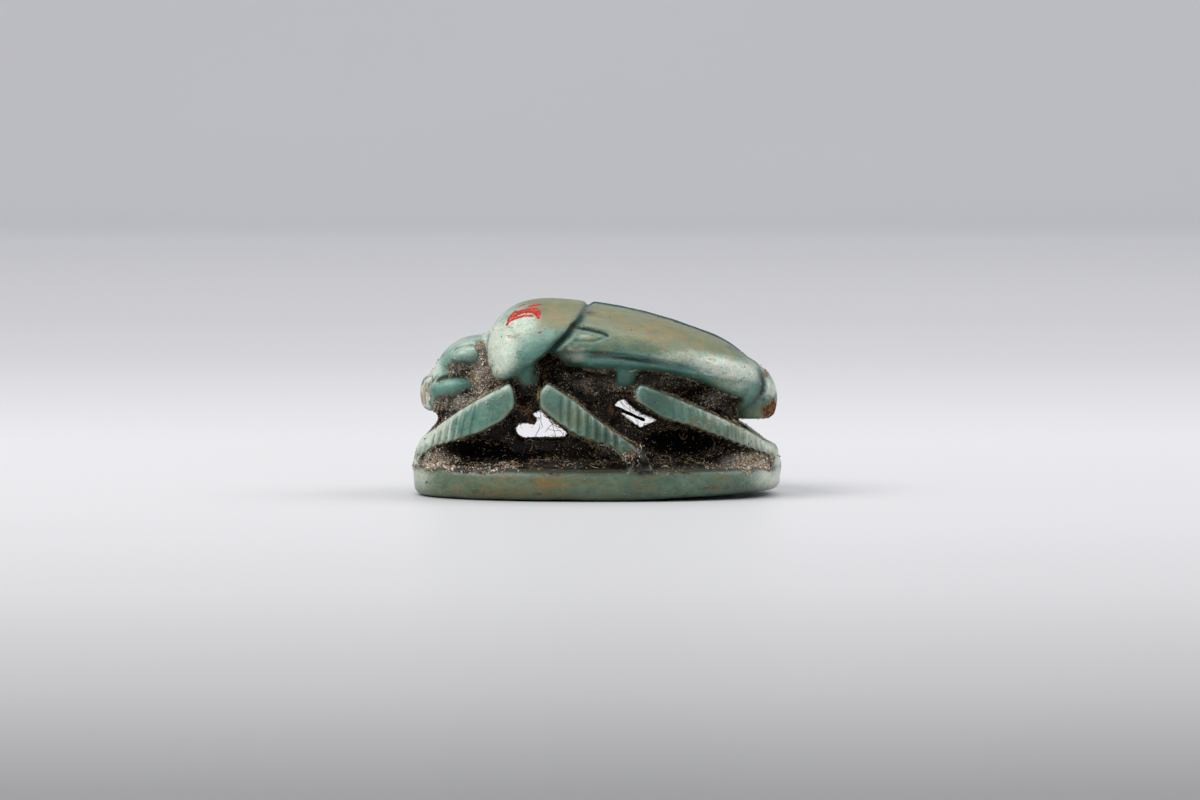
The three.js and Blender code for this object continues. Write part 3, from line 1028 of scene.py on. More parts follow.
def stone_material(name, specular):
    """The same pattern for glaze and for soil, which shines less."""
    s = Shader(name)
    soil, cav, sand = s.attr("soil"), s.attr("cav"), s.attr("sand")
    pale, brown, crust = s.attr("pale"), s.attr("brown"), s.attr("crust")
    green, olive, line = s.attr("green"), s.attr("olive"), s.attr("line")
    dim = s.attr("dim")
    lip, soil_shade = s.attr("lip"), s.attr("soil_shade")

    large = s.noise(0.55, 3, 0.5)
    medium = s.noise(1.7, 4, 0.55)
    fine = s.noise(7.0, 4, 0.6)
    grit = s.noise(22.0, 3, 0.65)
    streak = s.noise(1.5, 7, 0.66, s.stretch((0.40, 1.3, 2.6), turn=(0, 0.22, 0)))
    streak2 = s.noise(4.2, 5, 0.62, s.stretch((0.45, 1.4, 2.6), (3, 1, 7), (0, 0.2, 0)))

    # glaze, from deep to light turquoise
    tone = s.mad(large, 0.4, s.mad(medium, 0.35, s.mul(fine, 0.25)))
    glaze = s.ramp(
        tone,
        [
            (0.38, (0.048, 0.190, 0.156)),
            (0.47, (0.086, 0.278, 0.232)),
            (0.55, (0.126, 0.345, 0.292)),
            (0.66, (0.225, 0.455, 0.395)),
        ],
    )
    teal = s.step(s.mad(s.noise(2.6, 4, 0.6, s.stretch((1, 1, 1), (11, 4, 2))), 0.7, s.mul(fine, 0.3)), 0.50, 0.62)
    glaze = s.mix(s.mul(teal, 0.6), glaze, (0.036, 0.225, 0.215))
    glaze = s.mix(s.mul(green, 0.8), glaze, (0.098, 0.150, 0.082))
    o = s.step(s.mad(s.add(streak, medium), 0.35, s.mad(olive, 1.0, -0.35)), 0.1, 0.9)
    glaze = s.mix(s.mul(o, 0.76), glaze, (0.165, 0.156, 0.034))
    # worn, paler places, and painted highlights
    p = s.step(s.mad(s.add(streak, fine), 0.30, s.mad(pale, 0.95, -0.30)), 0.12, 0.85)
    glaze = s.mix(s.mul(p, 0.94), glaze, (0.78, 0.86, 0.76))
    # brown stains drawn out along the back
    thread = s.step(s.mad(streak, 0.5, s.mul(streak2, 0.5)), 0.40, 0.62)
    b = s.step(s.mad(thread, 0.62, s.mad(fine, 0.35, s.mul(brown, 0.52))), 0.66, 0.98)
    stain = s.mix(s.step(fine, 0.35, 0.65), (0.270, 0.190, 0.038), (0.170, 0.108, 0.022))
    glaze = s.mix(s.mul(b, 0.85), glaze, stain)
    b2 = s.step(s.mad(streak2, 0.6, s.mad(fine, 0.3, s.mul(brown, 0.3))), 0.66, 0.76)
    glaze = s.mix(s.mul(b2, 0.3), glaze, (0.250, 0.130, 0.035))
    # shaded, greener places
    d = s.mul(dim, s.mad(s.add(medium, fine), 0.7, 0.3))
    glaze = s.mix(d, glaze, (0.022, 0.096, 0.072))
    # small mottling
    mottle = s.ramp(s.mad(grit, 0.45, s.mul(fine, 0.55)), [(0.38, (0.50, 0.58, 0.56)), (0.47, (0.86, 0.89, 0.87)), (0.53, (1.08, 1.05, 1.03)), (0.62, (1.38, 1.26, 1.20))])
    glaze = s.mix(1.0, glaze, mottle, "MULTIPLY")
    drift = s.ramp(s.mad(medium, 0.5, s.mul(streak2, 0.5)), [(0.38, (0.66, 0.82, 0.80)), (0.50, (1.0, 1.0, 1.0)), (0.62, (1.24, 1.13, 1.04))])
    glaze = s.mix(1.0, glaze, drift, "MULTIPLY")
    # edges worn light; recesses painted dark as shade, and the lines dark with pooled glaze and painted shade
    worn = s.step(s.mad(fine, 0.10, s.mul(cav, -1.0)), 0.13, 0.27)
    fringe = s.step(s.mad(s.add(fine, medium), 0.12, line), 0.16, 0.62)
    sharp = s.mul(s.mad(green, -0.7, 1.0), s.mad(fringe, -1.0, 1.0))
    glaze = s.mix(s.mul(worn, s.mul(sharp, 0.55)), glaze, (0.42, 0.55, 0.47))
    glaze = s.mix(s.mul(fringe, 0.8), glaze, (0.014, 0.104, 0.098))
    recess_shade = s.step(s.mad(medium, 0.05, cav), 0.055, 0.16)
    glaze = s.mix(s.mul(recess_shade, 0.92), glaze, (0.006, 0.054, 0.050))
    lined = s.step(s.mad(s.add(fine, medium), 0.22, line), 0.5, 1.0)
    glaze = s.mix(s.mul(lined, 0.95), glaze, (0.002, 0.040, 0.040))
    layers = s.ramp(
        s.mad(fine, 0.16, s.mad(lip, 1.0, -0.08)),
        [
            (0.04, (0.14, 0.22, 0.18)),
            (0.10, (0.020, 0.030, 0.022)),
            (0.20, (0.62, 0.65, 0.57)),
            (0.66, (0.82, 0.82, 0.74)),
            (0.86, (0.26, 0.18, 0.08)),
            (1.0, (0.55, 0.45, 0.29)),
        ],
    )
    glaze = s.mix(s.mul(s.step(s.mad(fine, 0.1, lip), 0.05, 0.12), 0.85), glaze, layers)
    # painted shade: the deepest recesses near black
    deep_shade = s.step(s.mad(fine, 0.06, cav), 0.20, 0.29)
    glaze = s.mix(s.mul(deep_shade, 0.85), glaze, (0.012, 0.010, 0.007))
    # pits and tiny specks of soil
    pits = s.cells(5.5)
    pit = s.mul(s.step(pits, 0.10, 0.04), s.step(medium, 0.42, 0.62))
    glaze = s.mix(s.mul(pit, 0.8), glaze, (0.020, 0.030, 0.022))
    near = s.step(soil, -0.32, 0.0)
    spot_id = s.channel(s.cells(14.0, colour=True))
    spot = s.step(s.cells(14.0), 0.42, 0.22)
    spots = s.mul(spot, s.step(s.mad(near, 0.33, s.mad(brown, 0.19, spot_id)), 0.95, 0.99))
    spots = s.mul(spots, s.step(s.mad(streak2, 0.6, s.mul(medium, 0.4)), 0.46, 0.56))
    glaze = s.mix(spots, glaze, s.mix(s.step(s.noise(5.0, 2, 0.5), 0.45, 0.55), (0.30, 0.20, 0.075), (0.07, 0.05, 0.025)))
    grime = s.mul(s.step(s.mad(s.add(fine, grit), 0.16, soil), -0.12, 0.14), 0.85)
    glaze = s.mix(grime, glaze, (0.040, 0.036, 0.019))

    # soil: nearly black, with pale and tan grains
    dark = s.mix(s.step(medium, 0.35, 0.65), (0.0055, 0.0045, 0.0035), (0.020, 0.015, 0.010))
    # painted shade: the soil near black where it lies deep behind the legs
    dark = s.mix(soil_shade, dark, (0.0018, 0.0015, 0.0012))
    grain_rgb = s.cells(17.0, colour=True)
    gr = s.channel(grain_rgb, "Red")
    gg = s.channel(grain_rgb, "Green")
    grain = s.mix(gg, (0.16, 0.095, 0.042), (0.40, 0.345, 0.27))
    share = s.mad(sand, 0.72, s.mad(soil_shade, -0.2, 0.08))
    chosen = s.step(s.add(gr, share), 0.98, 1.02)
    earth = s.mix(s.mul(chosen, s.step(s.cells(17.0), 0.55, 0.3)), dark, grain)
    dusty = s.mul(s.step(s.mad(medium, 0.5, sand), 0.35, 1.3), s.step(s.mad(grit, 0.5, s.mul(fine, 0.5)), 0.40, 0.56))
    earth = s.mix(s.mul(dusty, 0.85), earth, (0.41, 0.385, 0.35))
    # the palest dust, on the sandy patch at the tail end of the base, painted near white as highlights on its grains
    dust_and_glint = s.mul(s.step(s.mad(medium, 0.3, sand), 1.1, 1.6), s.step(s.mad(grit, 0.5, s.mul(fine, 0.5)), 0.44, 0.54))
    earth = s.mix(s.mul(dust_and_glint, 0.85), earth, (0.84, 0.83, 0.77))
    earth = s.mix(s.step(s.mad(fine, 0.5, crust), 0.5, 0.8), earth, s.mix(s.step(fine, 0.4, 0.62), (0.050, 0.021, 0.008), (0.24, 0.110, 0.036)))

    cover = s.step(s.mad(s.add(fine, grit), 0.13, soil), 0.10, 0.16)
    colour = s.mix(cover, glaze, earth)
    s.put(s.bsdf.inputs["Base Color"], colour)

    # gloss
    rough = s.mad(fine, 0.24, s.mad(medium, 0.16, 0.13))
    rough = s.add(rough, s.mad(b, 0.10, s.mul(lined, 0.25)))
    rough = s.mix(cover, rough, (0.92, 0.92, 0.92))
    s.put(s.bsdf.inputs["Roughness"], rough)
    s.bsdf.inputs["IOR"].default_value = 1.5
    s.bsdf.inputs["Specular IOR Level"].default_value = specular
    s.bsdf.inputs["Subsurface Weight"].default_value = 0.06
    s.bsdf.inputs["Subsurface Radius"].default_value = (0.0004, 0.0005, 0.0004)
    s.bsdf.inputs["Subsurface Scale"].default_value = 1.0

    # small relief: brush-fine unevenness in the glaze, and grains in the soil
    relief = s.mad(fine, 0.55, s.mad(grit, 0.22, s.mul(medium, 0.45)))
    n = s.bump(relief, 0.6, 0.00009)
    n = s.bump(s.mul(pit, -1.0), 0.6, 0.00004, n)
    height = s.mul(cover, s.add(s.mul(s.cells(17.0), -1.2), s.mul(grit, 1.2)))
    n = s.bump(height, 0.9, 0.00005, n)
    s.put(s.bsdf.inputs["Normal"], n)
    return s.mat


def grain_material(name):
    s = Shader(name)
    tint = s.attr("tint", colour=True)
    n = s.noise(30.0, 2, 0.6)
    s.put(s.bsdf.inputs["Base Color"], s.mix(s.step(n, 0.35, 0.7), s.mix(0.6, tint, (0.02, 0.014, 0.009)), tint))
    s.put(s.bsdf.inputs["Roughness"], s.mad(n, 0.4, 0.45))
    s.put(s.bsdf.inputs["Normal"], s.bump(n, 0.5, 0.00002))
    return s.mat


def lint_material():
    s = Shader("lint")
    tint = s.attr("tint", colour=True)
    n = s.noise(12.0, 2, 0.6)
    s.put(s.bsdf.inputs["Base Color"], s.mix(s.step(n, 0.3, 0.7), s.mix(0.5, tint, (0.03, 0.02, 0.012)), tint))
    s.put(s.bsdf.inputs["Roughness"], s.mad(n, 0.3, 0.5))
    return s.mat


def ink_material():
    s = Shader("red_ink")
    n = s.noise(9.0, 4, 0.6)
    m = s.noise(3.0, 3, 0.6)
    c = s.mix(s.step(n, 0.38, 0.60), (0.18, 0.004, 0.002), (0.40, 0.012, 0.004))
    c = s.mix(s.mul(s.step(s.mad(n, 0.6, s.mul(m, 0.4)), 0.54, 0.62), 0.8), c, (0.60, 0.22, 0.14))
    s.put(s.bsdf.inputs["Base Color"], c)
    s.put(s.bsdf.inputs["Roughness"], s.mad(n, 0.3, 0.4))
    s.bsdf.inputs["Specular IOR Level"].default_value = 0.15
    s.put(s.bsdf.inputs["Normal"], s.bump(n, 0.5, 0.00004))
    return s.mat


# ------------------------------------------------------------------------------------------------------------------
# The stone
# ------------------------------------------------------------------------------------------------------------------
def stone():
    g, half, oval = carve(STEP)
    field, mask, fine, wide, y = weather(g, half, oval)
    origin = (float(g.x[0]), float(y[0]), float(g.z[0]))
    verts, tris = surface_nets(field, origin, STEP)
    verts, tris = largest_part(verts, tris)
    me = new_mesh("scarab_raw", verts, tris)
    o = new_object("scarab_stone", me)
    if len(tris) > TARGET_TRIS:
        mod = o.modifiers.new("fewer", "DECIMATE")
        mod.ratio = TARGET_TRIS / len(tris)
        dg = bpy.context.evaluated_depsgraph_get()
        light = bpy.data.meshes.new_from_object(o.evaluated_get(dg))
        o.modifiers.clear()
        o.data = light
        bpy.data.meshes.remove(me)
        me = light
    me.name = "scarab_stone"
    me.polygons.foreach_set("use_smooth", np.ones(len(me.polygons), bool))
    p = points(me)
    p[:, 2] = np.maximum(p[:, 2], 0.004)  # it rests on a flat face
    me.vertices.foreach_set("co", (p * 0.001).ravel())
    me.update()
    sample = Sampler(origin, STEP)
    normals = sample.gradient(field, p, STEP * 0.9)
    soil = sample(mask, p)
    cav = sample(fine, p) - 0.5
    x, ay, z = p[:, 0], np.abs(p[:, 1]), p[:, 2]
    n1 = fbm(p, 0.8, 71, 2)
    n2 = fbm(p, 0.35, 83, 2)
    n3 = fbm(p, 0.17, 103, 3, 0.6)
    # on the legs: how near the upper edge, the lower edge, and a hollow between ribs
    side = np.stack([x, 0 * x + float(y[0]), z], 1)
    upper_edge, lower_edge, between_ribs, crest = 0 * x, 0 * x, 0 * x, 0 * x
    slab = np.zeros((len(g.x), 2, len(g.z)), f32)
    out = sstep(-0.4, -0.2, sample(np.concatenate([oval, oval[:, ::-1]], 1), p))
    for prof, lim, band in g.ribs:
        slab[:] = band[:, None, :]
        b = sample(slab, side)
        slab[:] = np.gradient(band, g.h, axis=1)[:, None, :]
        up = sample(slab, side)
        slab[:] = ((1 - np.broadcast_to(prof, band.shape)) * lim)[:, None, :]
        r = sample(slab, side)
        on = sstep(0.08, -0.02, b) * out
        near_edge = np.exp(-((np.minimum(b, 0) / 0.2) ** 2)) * on
        upper_edge = np.maximum(upper_edge, near_edge * sstep(0.2, 0.7, up))
        lower_edge = np.maximum(lower_edge, near_edge * sstep(-0.2, -0.7, up))
        between_ribs = np.maximum(between_ribs, r * on)
        slab[:] = (np.broadcast_to(prof, band.shape) * lim)[:, None, :]
        crest = np.maximum(crest, sample(slab, side) * on)

    # sandy soil; the strong patch at the tail end runs past 1, which the shader paints near white as highlights on the
    # dust
    sand = np.maximum.reduce(
        [
            0.95 * blob(x, z, -5.65, 6.2, 0.6, 1.8),
            0.8 * blob(x, z, -6.9, 4.65, 1.0, 0.5),
            0.95 * blob(x, z, -8.2, 1.7, 1.1, 0.45),
            2.2 * blob(x, z, 7.6, 1.7, 1.3, 0.4),
            0.5 * blob(x, z, 0.9, 2.3, 1.2, 0.35),
            0.52 * blob(x, z, 3.2, 5.6, 2.2, 0.5),
            0.65 * blob(x, z, -0.1, 5.5, 1.5, 0.5),
            0.5 * blob(x, z, 5.6, 4.9, 1.0, 0.4),
            0.8 * blob(x, z, 6.2, 5.75, 1.4, 0.25),
            0.45 * blob(x, z, -5.2, 5.5, 1.0, 0.4),
            0.55 * blob(x, z, -6.7, 6.35, 0.8, 0.4),
        ]
    )
    sand = np.clip(sand + 0.18 * n1 * (sand > 0.1), 0, 1.6)
    dome = z > 6.2
    # paler places: worn glaze, and painted highlights where the lamps catch the pronotum, the back of the wing cases,
    # the strip tip and the ends of the head and legs
    pale = np.maximum.reduce(
        [
            1.1 * blob(x, z, -4.75, 7.3, 1.0, 1.6) * (z > 5.6),
            0.75 * blob(x + 0.7 * n1, z, -3.9, 8.5, 1.2, 0.8) * dome,
            1.25 * blob(x, z - 6.42 + 0.25 * (x - 6.0), 6.3, 0, 2.0, 0.5),
            0.6 * blob(x, z, 4.0, 6.95, 1.8, 0.4),
            0.5 * blob(x, z, -6.6, 7.3, 1.6, 0.8),
            1.15 * blob(x, z, -8.05, 6.2, 0.5, 0.7),
            0.85 * blob(x, z, -1.2, 6.87, 0.75, 0.3),
            0.5 * blob(x, z, 5.9, 3.9, 1.1, 0.5) * out,
            0.5 * blob(x, z, 6.8, 5.5, 1.1, 0.35),
            0.95 * blob(x, z, -8.0, 3.0, 1.2, 0.9) * out,
            0.85 * blob(x, z, 7.9, 2.7, 1.3, 0.9) * out,
            1.0 * blob(x, z, 8.55, 5.3, 0.5, 0.6),
            0.5 * blob(x, z, -0.65, 7.93, 0.45, 0.14),
            0.5 * blob(x, z, -8.7, 2.3, 0.6, 1.2),
            0.45 * blob(x, z, 8.6, 2.2, 0.9, 0.9),
            1.0 * blob(x, z, 8.8, 1.2, 1.4, 1.1),
            0.6 * blob(x, z, -8.8, 1.0, 1.1, 0.9),
            0.85 * blob(x, z, -8.8, 1.6, 0.5, 0.25),
            (0.9 + 1.1 * n3) * blob(x, z + 0.2 * (x - 5.7), 5.7, 6.05, 1.1, 0.14),
            0.6 * np.clip(1.5 * blob(x, z, -0.95, 7.3, 0.45, 0.2), 0, 1),
        ]
    )
    brown = np.maximum.reduce(
        [
            0.85 * blob(x, z - 8.1 + 0.26 * (x - 2.9), 2.9, 0, 3.6, 0.6) * dome,
            0.5 * blob(x, z, 1.2, 8.75, 2.0, 0.45) * dome,
            0.85 * blob(x, z, -1.7, 9.0, 1.4, 0.7) * dome,
            0.45 * blob(x, z, -4.0, 8.0, 0.8, 0.5) * dome,
            0.8 * blob(x, z, -0.5, 7.72, 0.55, 0.1),
            0.85 * blob(x, z, -5.25, 6.1, 0.25, 0.7),
            1.0 * blob(x, z, -2.2, 0.9, 1.0, 0.6),
            0.5 * blob(x, z, -0.4, 1.1, 1.0, 0.3),
            0.75 * blob(x, z, -4.5, 0.35, 3.2, 0.35),
            0.65 * blob(x, z, -4.4, 1.1, 1.6, 0.6),
            0.4 * blob(x, z, 2.4, 1.0, 0.8, 0.5),
            0.6 * blob(x, z, 5.7, 0.8, 1.0, 0.5),
            0.45 * blob(x, z, -0.7, 4.2, 1.0, 0.9),
            0.35 * blob(x, z, 5.5, 3.6, 2.0, 0.5),
        ]
    )
    between_ribs = between_ribs * (1 - 0.45 * sstep(5.5, 6.5, np.abs(x))) * (1 - 0.7 * sstep(7.6, 8.4, np.abs(x)))
    # painted highlight along the upper edges of the legs, strongest at the front; painted shade between the ribs
    glint = 0.4 + 0.35 * sstep(-3.0, -4.0, x) + 0.5 * n2
    pale = np.clip(pale + glint * upper_edge - 0.5 * between_ribs, 0, 1.2)
    deep_in = sample(np.concatenate([oval, oval[:, ::-1]], 1), p)
    # painted shade: darker, greener glaze under the body, between the ribs, on the rim's upper face and over the leg
    # hollows
    dim = np.maximum.reduce(
        [
            0.85 * blob(x, z, 2.9, 4.8, 1.6, 0.9) * out,
            0.22 * blob(x, z, 5.0, 3.9, 1.1, 0.9) * out,
            0.62 * blob(x, z, -2.1, 4.6, 1.2, 0.9) * out,
            0.8 * blob(x, z, 0.6, 3.1, 1.6, 0.8) * out,
            0.85 * blob(x, z, 2.1, 1.9, 0.9, 0.9) * out,
            0.45 * blob(x, z, -4.7, 4.5, 1.0, 0.8) * out,
            0.85 * sstep(-0.5, -1.0, deep_in) * (z > 4.3) * (z < 7.3) * (x > -3.2),
            0.9 * sstep(0.95, 1.3, z) * (1 - sstep(1.9, 2.2, z)) * sstep(0.05, -0.12, deep_in) * (1 - 0.6 * sstep(7.5, 8.5, np.abs(x))),
            0.62 * between_ribs * (0.75 + 0.5 * n2),
            0.3 * blob(x, z, 0.2, 8.35, 1.0, 0.35) * dome,
        ]
    )
    tip = np.clip(1.5 * blob(x, z, -1.35, 6.85, 0.75, 0.32), 0, 1)
    dim = np.clip(dim * (1 - tip), 0, 1)
    # painted highlight on the rib crests
    pale = np.clip(pale + 0.3 * crest, 0, 1.2)
    brown = np.clip(brown + 0.15 * n1 + 0.42 * lower_edge * (n1 > -0.5), 0, 1)
    olive = np.maximum.reduce(
        [
            0.95 * sstep(7.4, 8.3, z + 0.16 * x) * dome * sstep(-4.9, -2.9, x + 0.9 * n1),
            0.55 * dome * sstep(-2.6, -1.6, x) * sstep(6.9, 7.3, z + 0.2 * np.maximum(0, x - 2)),
            0.3 * dome * (z > 7.3),
            0.5 * (1 - sstep(4.2, 4.9, z)) * (z > 1.4) * sstep(-2.9, -2.6, x) * (1 - sstep(1.0, 2.0, x)),
            (0.2 + 0.5 * sstep(4, 8, x)) * (1 - sstep(4.2, 5.0, z)) * (z > 1.4) * (x > 2) * (x < 9),
            0.3 * (z < 2.6) * (x < -7),
            0.5 * lower_edge,
            0.6 * blob(x, z, 6.3, 5.6, 1.5, 0.3),
            0.5 * blob(x, z, -0.1, 7.55, 0.8, 0.25),
            0.95 * blob(x, z, -2.3, 0.9, 1.2, 0.45) * (z < 1.5),
            0.6 * blob(x, z, -4.9, 0.6, 1.5, 0.4) * (z < 1.5),
            0.3 * (z < 1.4) * (1 - sstep(1.5, 3.5, x)),
            0.6 * blob(x, z, 1.3, 8.2, 1.9, 0.6) * dome,
            0.85 * blob(x, z - 7.95 + 0.26 * (x - 2.9), 3.3, 0, 2.8, 0.5) * dome,
        ]
    )
    olive = np.clip(olive + 0.12 * n2, 0, 1)
    # glaze that has pooled dark in the lines, with a wider soft halo of painted shade round each
    line = np.zeros(len(p))
    for pts, width, power, ymin in (
        (SUTURE, 0.17, (0.75, 0.85, 0.95, 1, 1, 1), 0),
        (SHOULDER[0], 0.075, 1.0, 1),
        (SHOULDER[1], 0.05, 0.5, 1),
        (SHOULDER[2], 0.04, 0.6, 1),
        (WING_EDGE, 0.11, (0.1, 0.5, 0.9, 0.6, 0.28, 0.12, 0, 0), 1.5),
        (TAIL_LINE, 0.21, (0.4, 0.7, 0.75, 0.5, 0.25), 0),
    ):
        d, at = seg_distance(x, z, pts)
        if not np.isscalar(power):
            power = np.interp(at, np.linspace(0, 1, len(power)), power)
        d = d / (width * (1 + 0.3 * n2 + 0.55 * n3))
        here = np.maximum(np.exp(-(d**2)), 0.42 * np.exp(-((d / 2.4) ** 2))) * power
        line = np.maximum(line, here * (ay >= ymin) * (z > 3.6))
    line = line * (1 - np.clip(1.7 * blob(x, z, -1.3, 6.85, 0.65, 0.3), 0, 1))
    line = line * (1 - (0.6 + 0.6 * n3) * np.clip(1.5 * blob(x, z, -0.5, 9.02, 0.3, 0.2), 0, 1))
    # less of the painted cavity shade on the strip tip, the ribs and the leg ends
    cav = cav * (1 - 0.85 * np.clip(1.5 * blob(x, z, -0.95, 7.05, 0.75, 0.28), 0, 1))
    cav = cav - 0.7 * np.maximum(cav, 0) * np.clip(2 * between_ribs + 2 * crest + sstep(8.2, 8.5, np.abs(x)), 0, 1)
    # painted shade between the ribs, on the two stubs and in a band below the wing-case edge, and a dark line down the
    # middle of the back
    line = np.maximum.reduce(
        [
            line,
            0.25 * between_ribs * (0.7 + 0.6 * n2),
            0.25 * np.clip(1.5 * blob(x, z, -3.25, 5.95, 0.6, 0.4), 0, 1) * (z < 6.5),
            0.3 * blob(x, z, 1.4, 6.3, 0.7, 0.4) * (z < 6.6),
            0.32 * sstep(-0.6, 0.6, x) * (1 - sstep(3.5, 5, x)) * (z > 5.5) * (1 - sstep(6.7, 6.95, z + 0.12 * np.maximum(0, x - 1))),
            0.25 * blob(x, z, 7.5, 4.3, 0.5, 0.35),
            np.maximum(0.95 * (1 - sstep(0.12, 0.3, ay + 0.06 * n2)), 0.3 * (1 - sstep(0.4, 0.75, ay + 0.12 * n2)) * sstep(-0.5, 0.2, x)) * (x > -0.4) * (z > 6.3),
        ]
    )
    # the layered lip at the front of the head
    behind = x + 7.1 + 1.55 * np.sqrt(np.clip(1 - (ay / 2.6) ** 2, 0, 1))
    lip = np.clip(1 - (behind + 0.04 * n2) / 0.36, 0, 1)
    lip = lip * sstep(4.1, 4.3, z + 0.2 * n2) * (1 - sstep(5.5, 5.9, z + 0.35 * n2)) * (1 - sstep(1.4, 1.8, ay + 0.2 * n2))
    lip = lip * sstep(0.1, 0.55, 0.75 + 0.9 * n1 + 0.5 * n3 - 0.5 * blob(ay, z, 0.3, 5.2, 0.9, 0.6))
    # painted shade: the soil is made near black in the deep recesses behind the fore and hind legs and low down between
    # them, less where it is sandy
    soil_shade = np.maximum.reduce(
        [
            1.2 * blob(x, z, -5.2, 2.3, 2.4, 0.6),
            1.2 * blob(x, z, 4.2, 2.6, 2.2, 0.75),
            0.7 * blob(x, z, -0.3, 1.75, 2.2, 0.3),
            0.8 * blob(x, z, -4.0, 5.1, 0.6, 0.6),
            0.8 * blob(x, z, 2.6, 4.7, 0.8, 0.5),
        ]
    )
    soil_shade = np.clip(soil_shade - 0.8 * sstep(0.3, 0.6, sand) + 0.25 * n1, 0, 1)
    crust = np.maximum.reduce(
        [
            1.15 * blob(x, z, 8.5, 4.15, 0.5, 0.6),
            0.9 * blob(x, z, 8.3, 5.95, 0.25, 0.16),
            0.95 * blob(x, z, -3.5, 3.95, 0.55, 0.5) * (ay < 3.2),
            0.45 * blob(x, z, 0.65, 4.4, 0.3, 0.4),
        ]
    )
    crust = np.clip(crust + 0.25 * n2 * (crust > 0.15), 0, 1)
    # thin dirt that lies on the glaze
    dirt = np.maximum.reduce(
        [
            np.minimum(1.25, (1.5 + 0.8 * n3) * blob(x, z, 2.0, 2.0, 0.95, 0.95)) * out * sstep(1.3, 1.7, z),
            0.9 * blob(x, z, -5.5, 5.8, 0.28, 0.7) * (x > -5.9),
            0.4 * blob(x, z, -3.1, 5.75, 0.75, 0.5) * (z < 6.4),
            0.7 * blob(x, z, -1.5, 7.35, 0.28, 0.25),
            0.55 * blob(x, z, 1.5, 5.9, 0.6, 0.35) * (z < 6.3),
            0.85 * blob(x, z, -8.5, 1.85, 0.35, 0.5),
            0.85 * blob(x, z, 8.5, 1.8, 0.35, 0.5),
            0.95 * sstep(1.08, 1.33, z) * (1 - sstep(1.45, 1.6, z)) * (0.8 + 0.6 * n1),
            (0.72 + 0.5 * n3) * blob(x, z, -5.7, 0.45, 1.0, 0.3) * (z < 1.3),
            (0.75 + 0.5 * n3) * blob(x, z, -2.9, 0.42, 1.0, 0.25) * (z < 1.3),
            (0.72 + 0.5 * n3) * blob(x, z, 5.6, 0.62, 1.4, 0.2) * (z < 1.3),
            (0.6 + 0.5 * n3) * blob(x, z, 3.0, 0.35, 0.8, 0.2) * (z < 1.3),
            (0.5 + 0.5 * n3) * blob(x, z, -4.2, 0.95, 1.3, 0.25) * (z < 1.3),
            (0.5 + 0.5 * n3) * blob(x, z, -7.6, 0.6, 0.5, 0.4) * (z < 1.3),
            0.45 * blob(x, z, 4.2, 6.35, 1.6, 0.16) * dome,
            1.0 * blob(x, z, -0.4, 8.98, 0.45, 0.16) * dome,
            0.8 * blob(x, z, -1.0, 8.35, 0.25, 0.3) * dome,
            0.95 * blob(x, z, -0.95, 7.4, 0.5, 0.2) * (x > -1.8),
            0.85 * blob(x, z, 0.0, 6.98, 0.8, 0.1),
            0.8 * blob(x, z, -0.6, 7.68, 0.5, 0.08),
            0.4 * upper_edge * (0.6 + 0.8 * n1) * (x > -7),
            0.62 * lower_edge * (0.6 + 0.8 * n1),
        ]
    )
    soil = np.maximum(soil, np.where(dirt > 0.05, -0.33 + 0.33 * dirt + 0.13 * n3, -1))
    # the crust on the tail lies on the glaze itself
    lump = crust * 0.5 - 0.29 + 0.12 * n2 + 0.2 * n3
    soil = np.maximum(soil, np.where((x > 7.7) & (z > 3.5), lump, -1))
    green = np.clip((1 - 0.42 * sstep(1, 4, x)) * (1 - sstep(1.3, 1.9, z)) + 0.2 * (z < 5.2), 0, 1)
    for name, values in (
        ("soil", soil),
        ("cav", cav),
        ("sand", sand),
        ("pale", pale),
        ("brown", brown),
        ("crust", crust),
        ("green", green),
        ("olive", olive),
        ("line", line),
        ("dim", dim),
        ("lip", lip),
        ("soil_shade", soil_shade),
    ):
        set_attribute(me, name, values)
    me.normals_split_custom_set_from_vertices(normals.astype(float))
    me.materials.append(stone_material("glazed_stone", 0.5))
    me.materials.append(stone_material("soil_crust", 0.08))
    t = triangles(me)
    dull = (soil[t].mean(1) > 0.06) | (line[t].mean(1) > 0.62)
    me.polygons.foreach_set("material_index", dull.astype(np.int32))
    return o, p, normals, soil, sand, soil_shade


def triangles(me):
    t = np.empty(len(me.polygons) * 3, np.int32)
    me.loops.foreach_get("vertex_index", t)
    return t.reshape(-1, 3)


def scatter(p, tris, weight, count, rng):
    """count places on the mesh, more where weight (a value for each vertex) is high: the place and its triangle."""
    a, b, c = p[tris[:, 0]], p[tris[:, 1]], p[tris[:, 2]]
    cross = np.cross(b - a, c - a)
    area = np.linalg.norm(cross, axis=1) / 2
    w = area * weight[tris].mean(1)
    cum = np.cumsum(w)
    t = np.searchsorted(cum, rng.uniform(0, cum[-1], count))
    u, v = rng.uniform(0, 1, (2, count))
    flip = u + v > 1
    u[flip], v[flip] = 1 - u[flip], 1 - v[flip]
    u, v = u[:, None], v[:, None]
    return a[t] + u * (b[t] - a[t]) + v * (c[t] - a[t]), t


OCTA = np.array([(1, 0, 0), (-1, 0, 0), (0, 1, 0), (0, -1, 0), (0, 0, 1), (0, 0, -1)], float)
OCTA_TRIS = np.array(
    [(0, 2, 4), (2, 1, 4), (1, 3, 4), (3, 0, 4), (2, 0, 5), (1, 2, 5), (3, 1, 5), (0, 3, 5)]
)


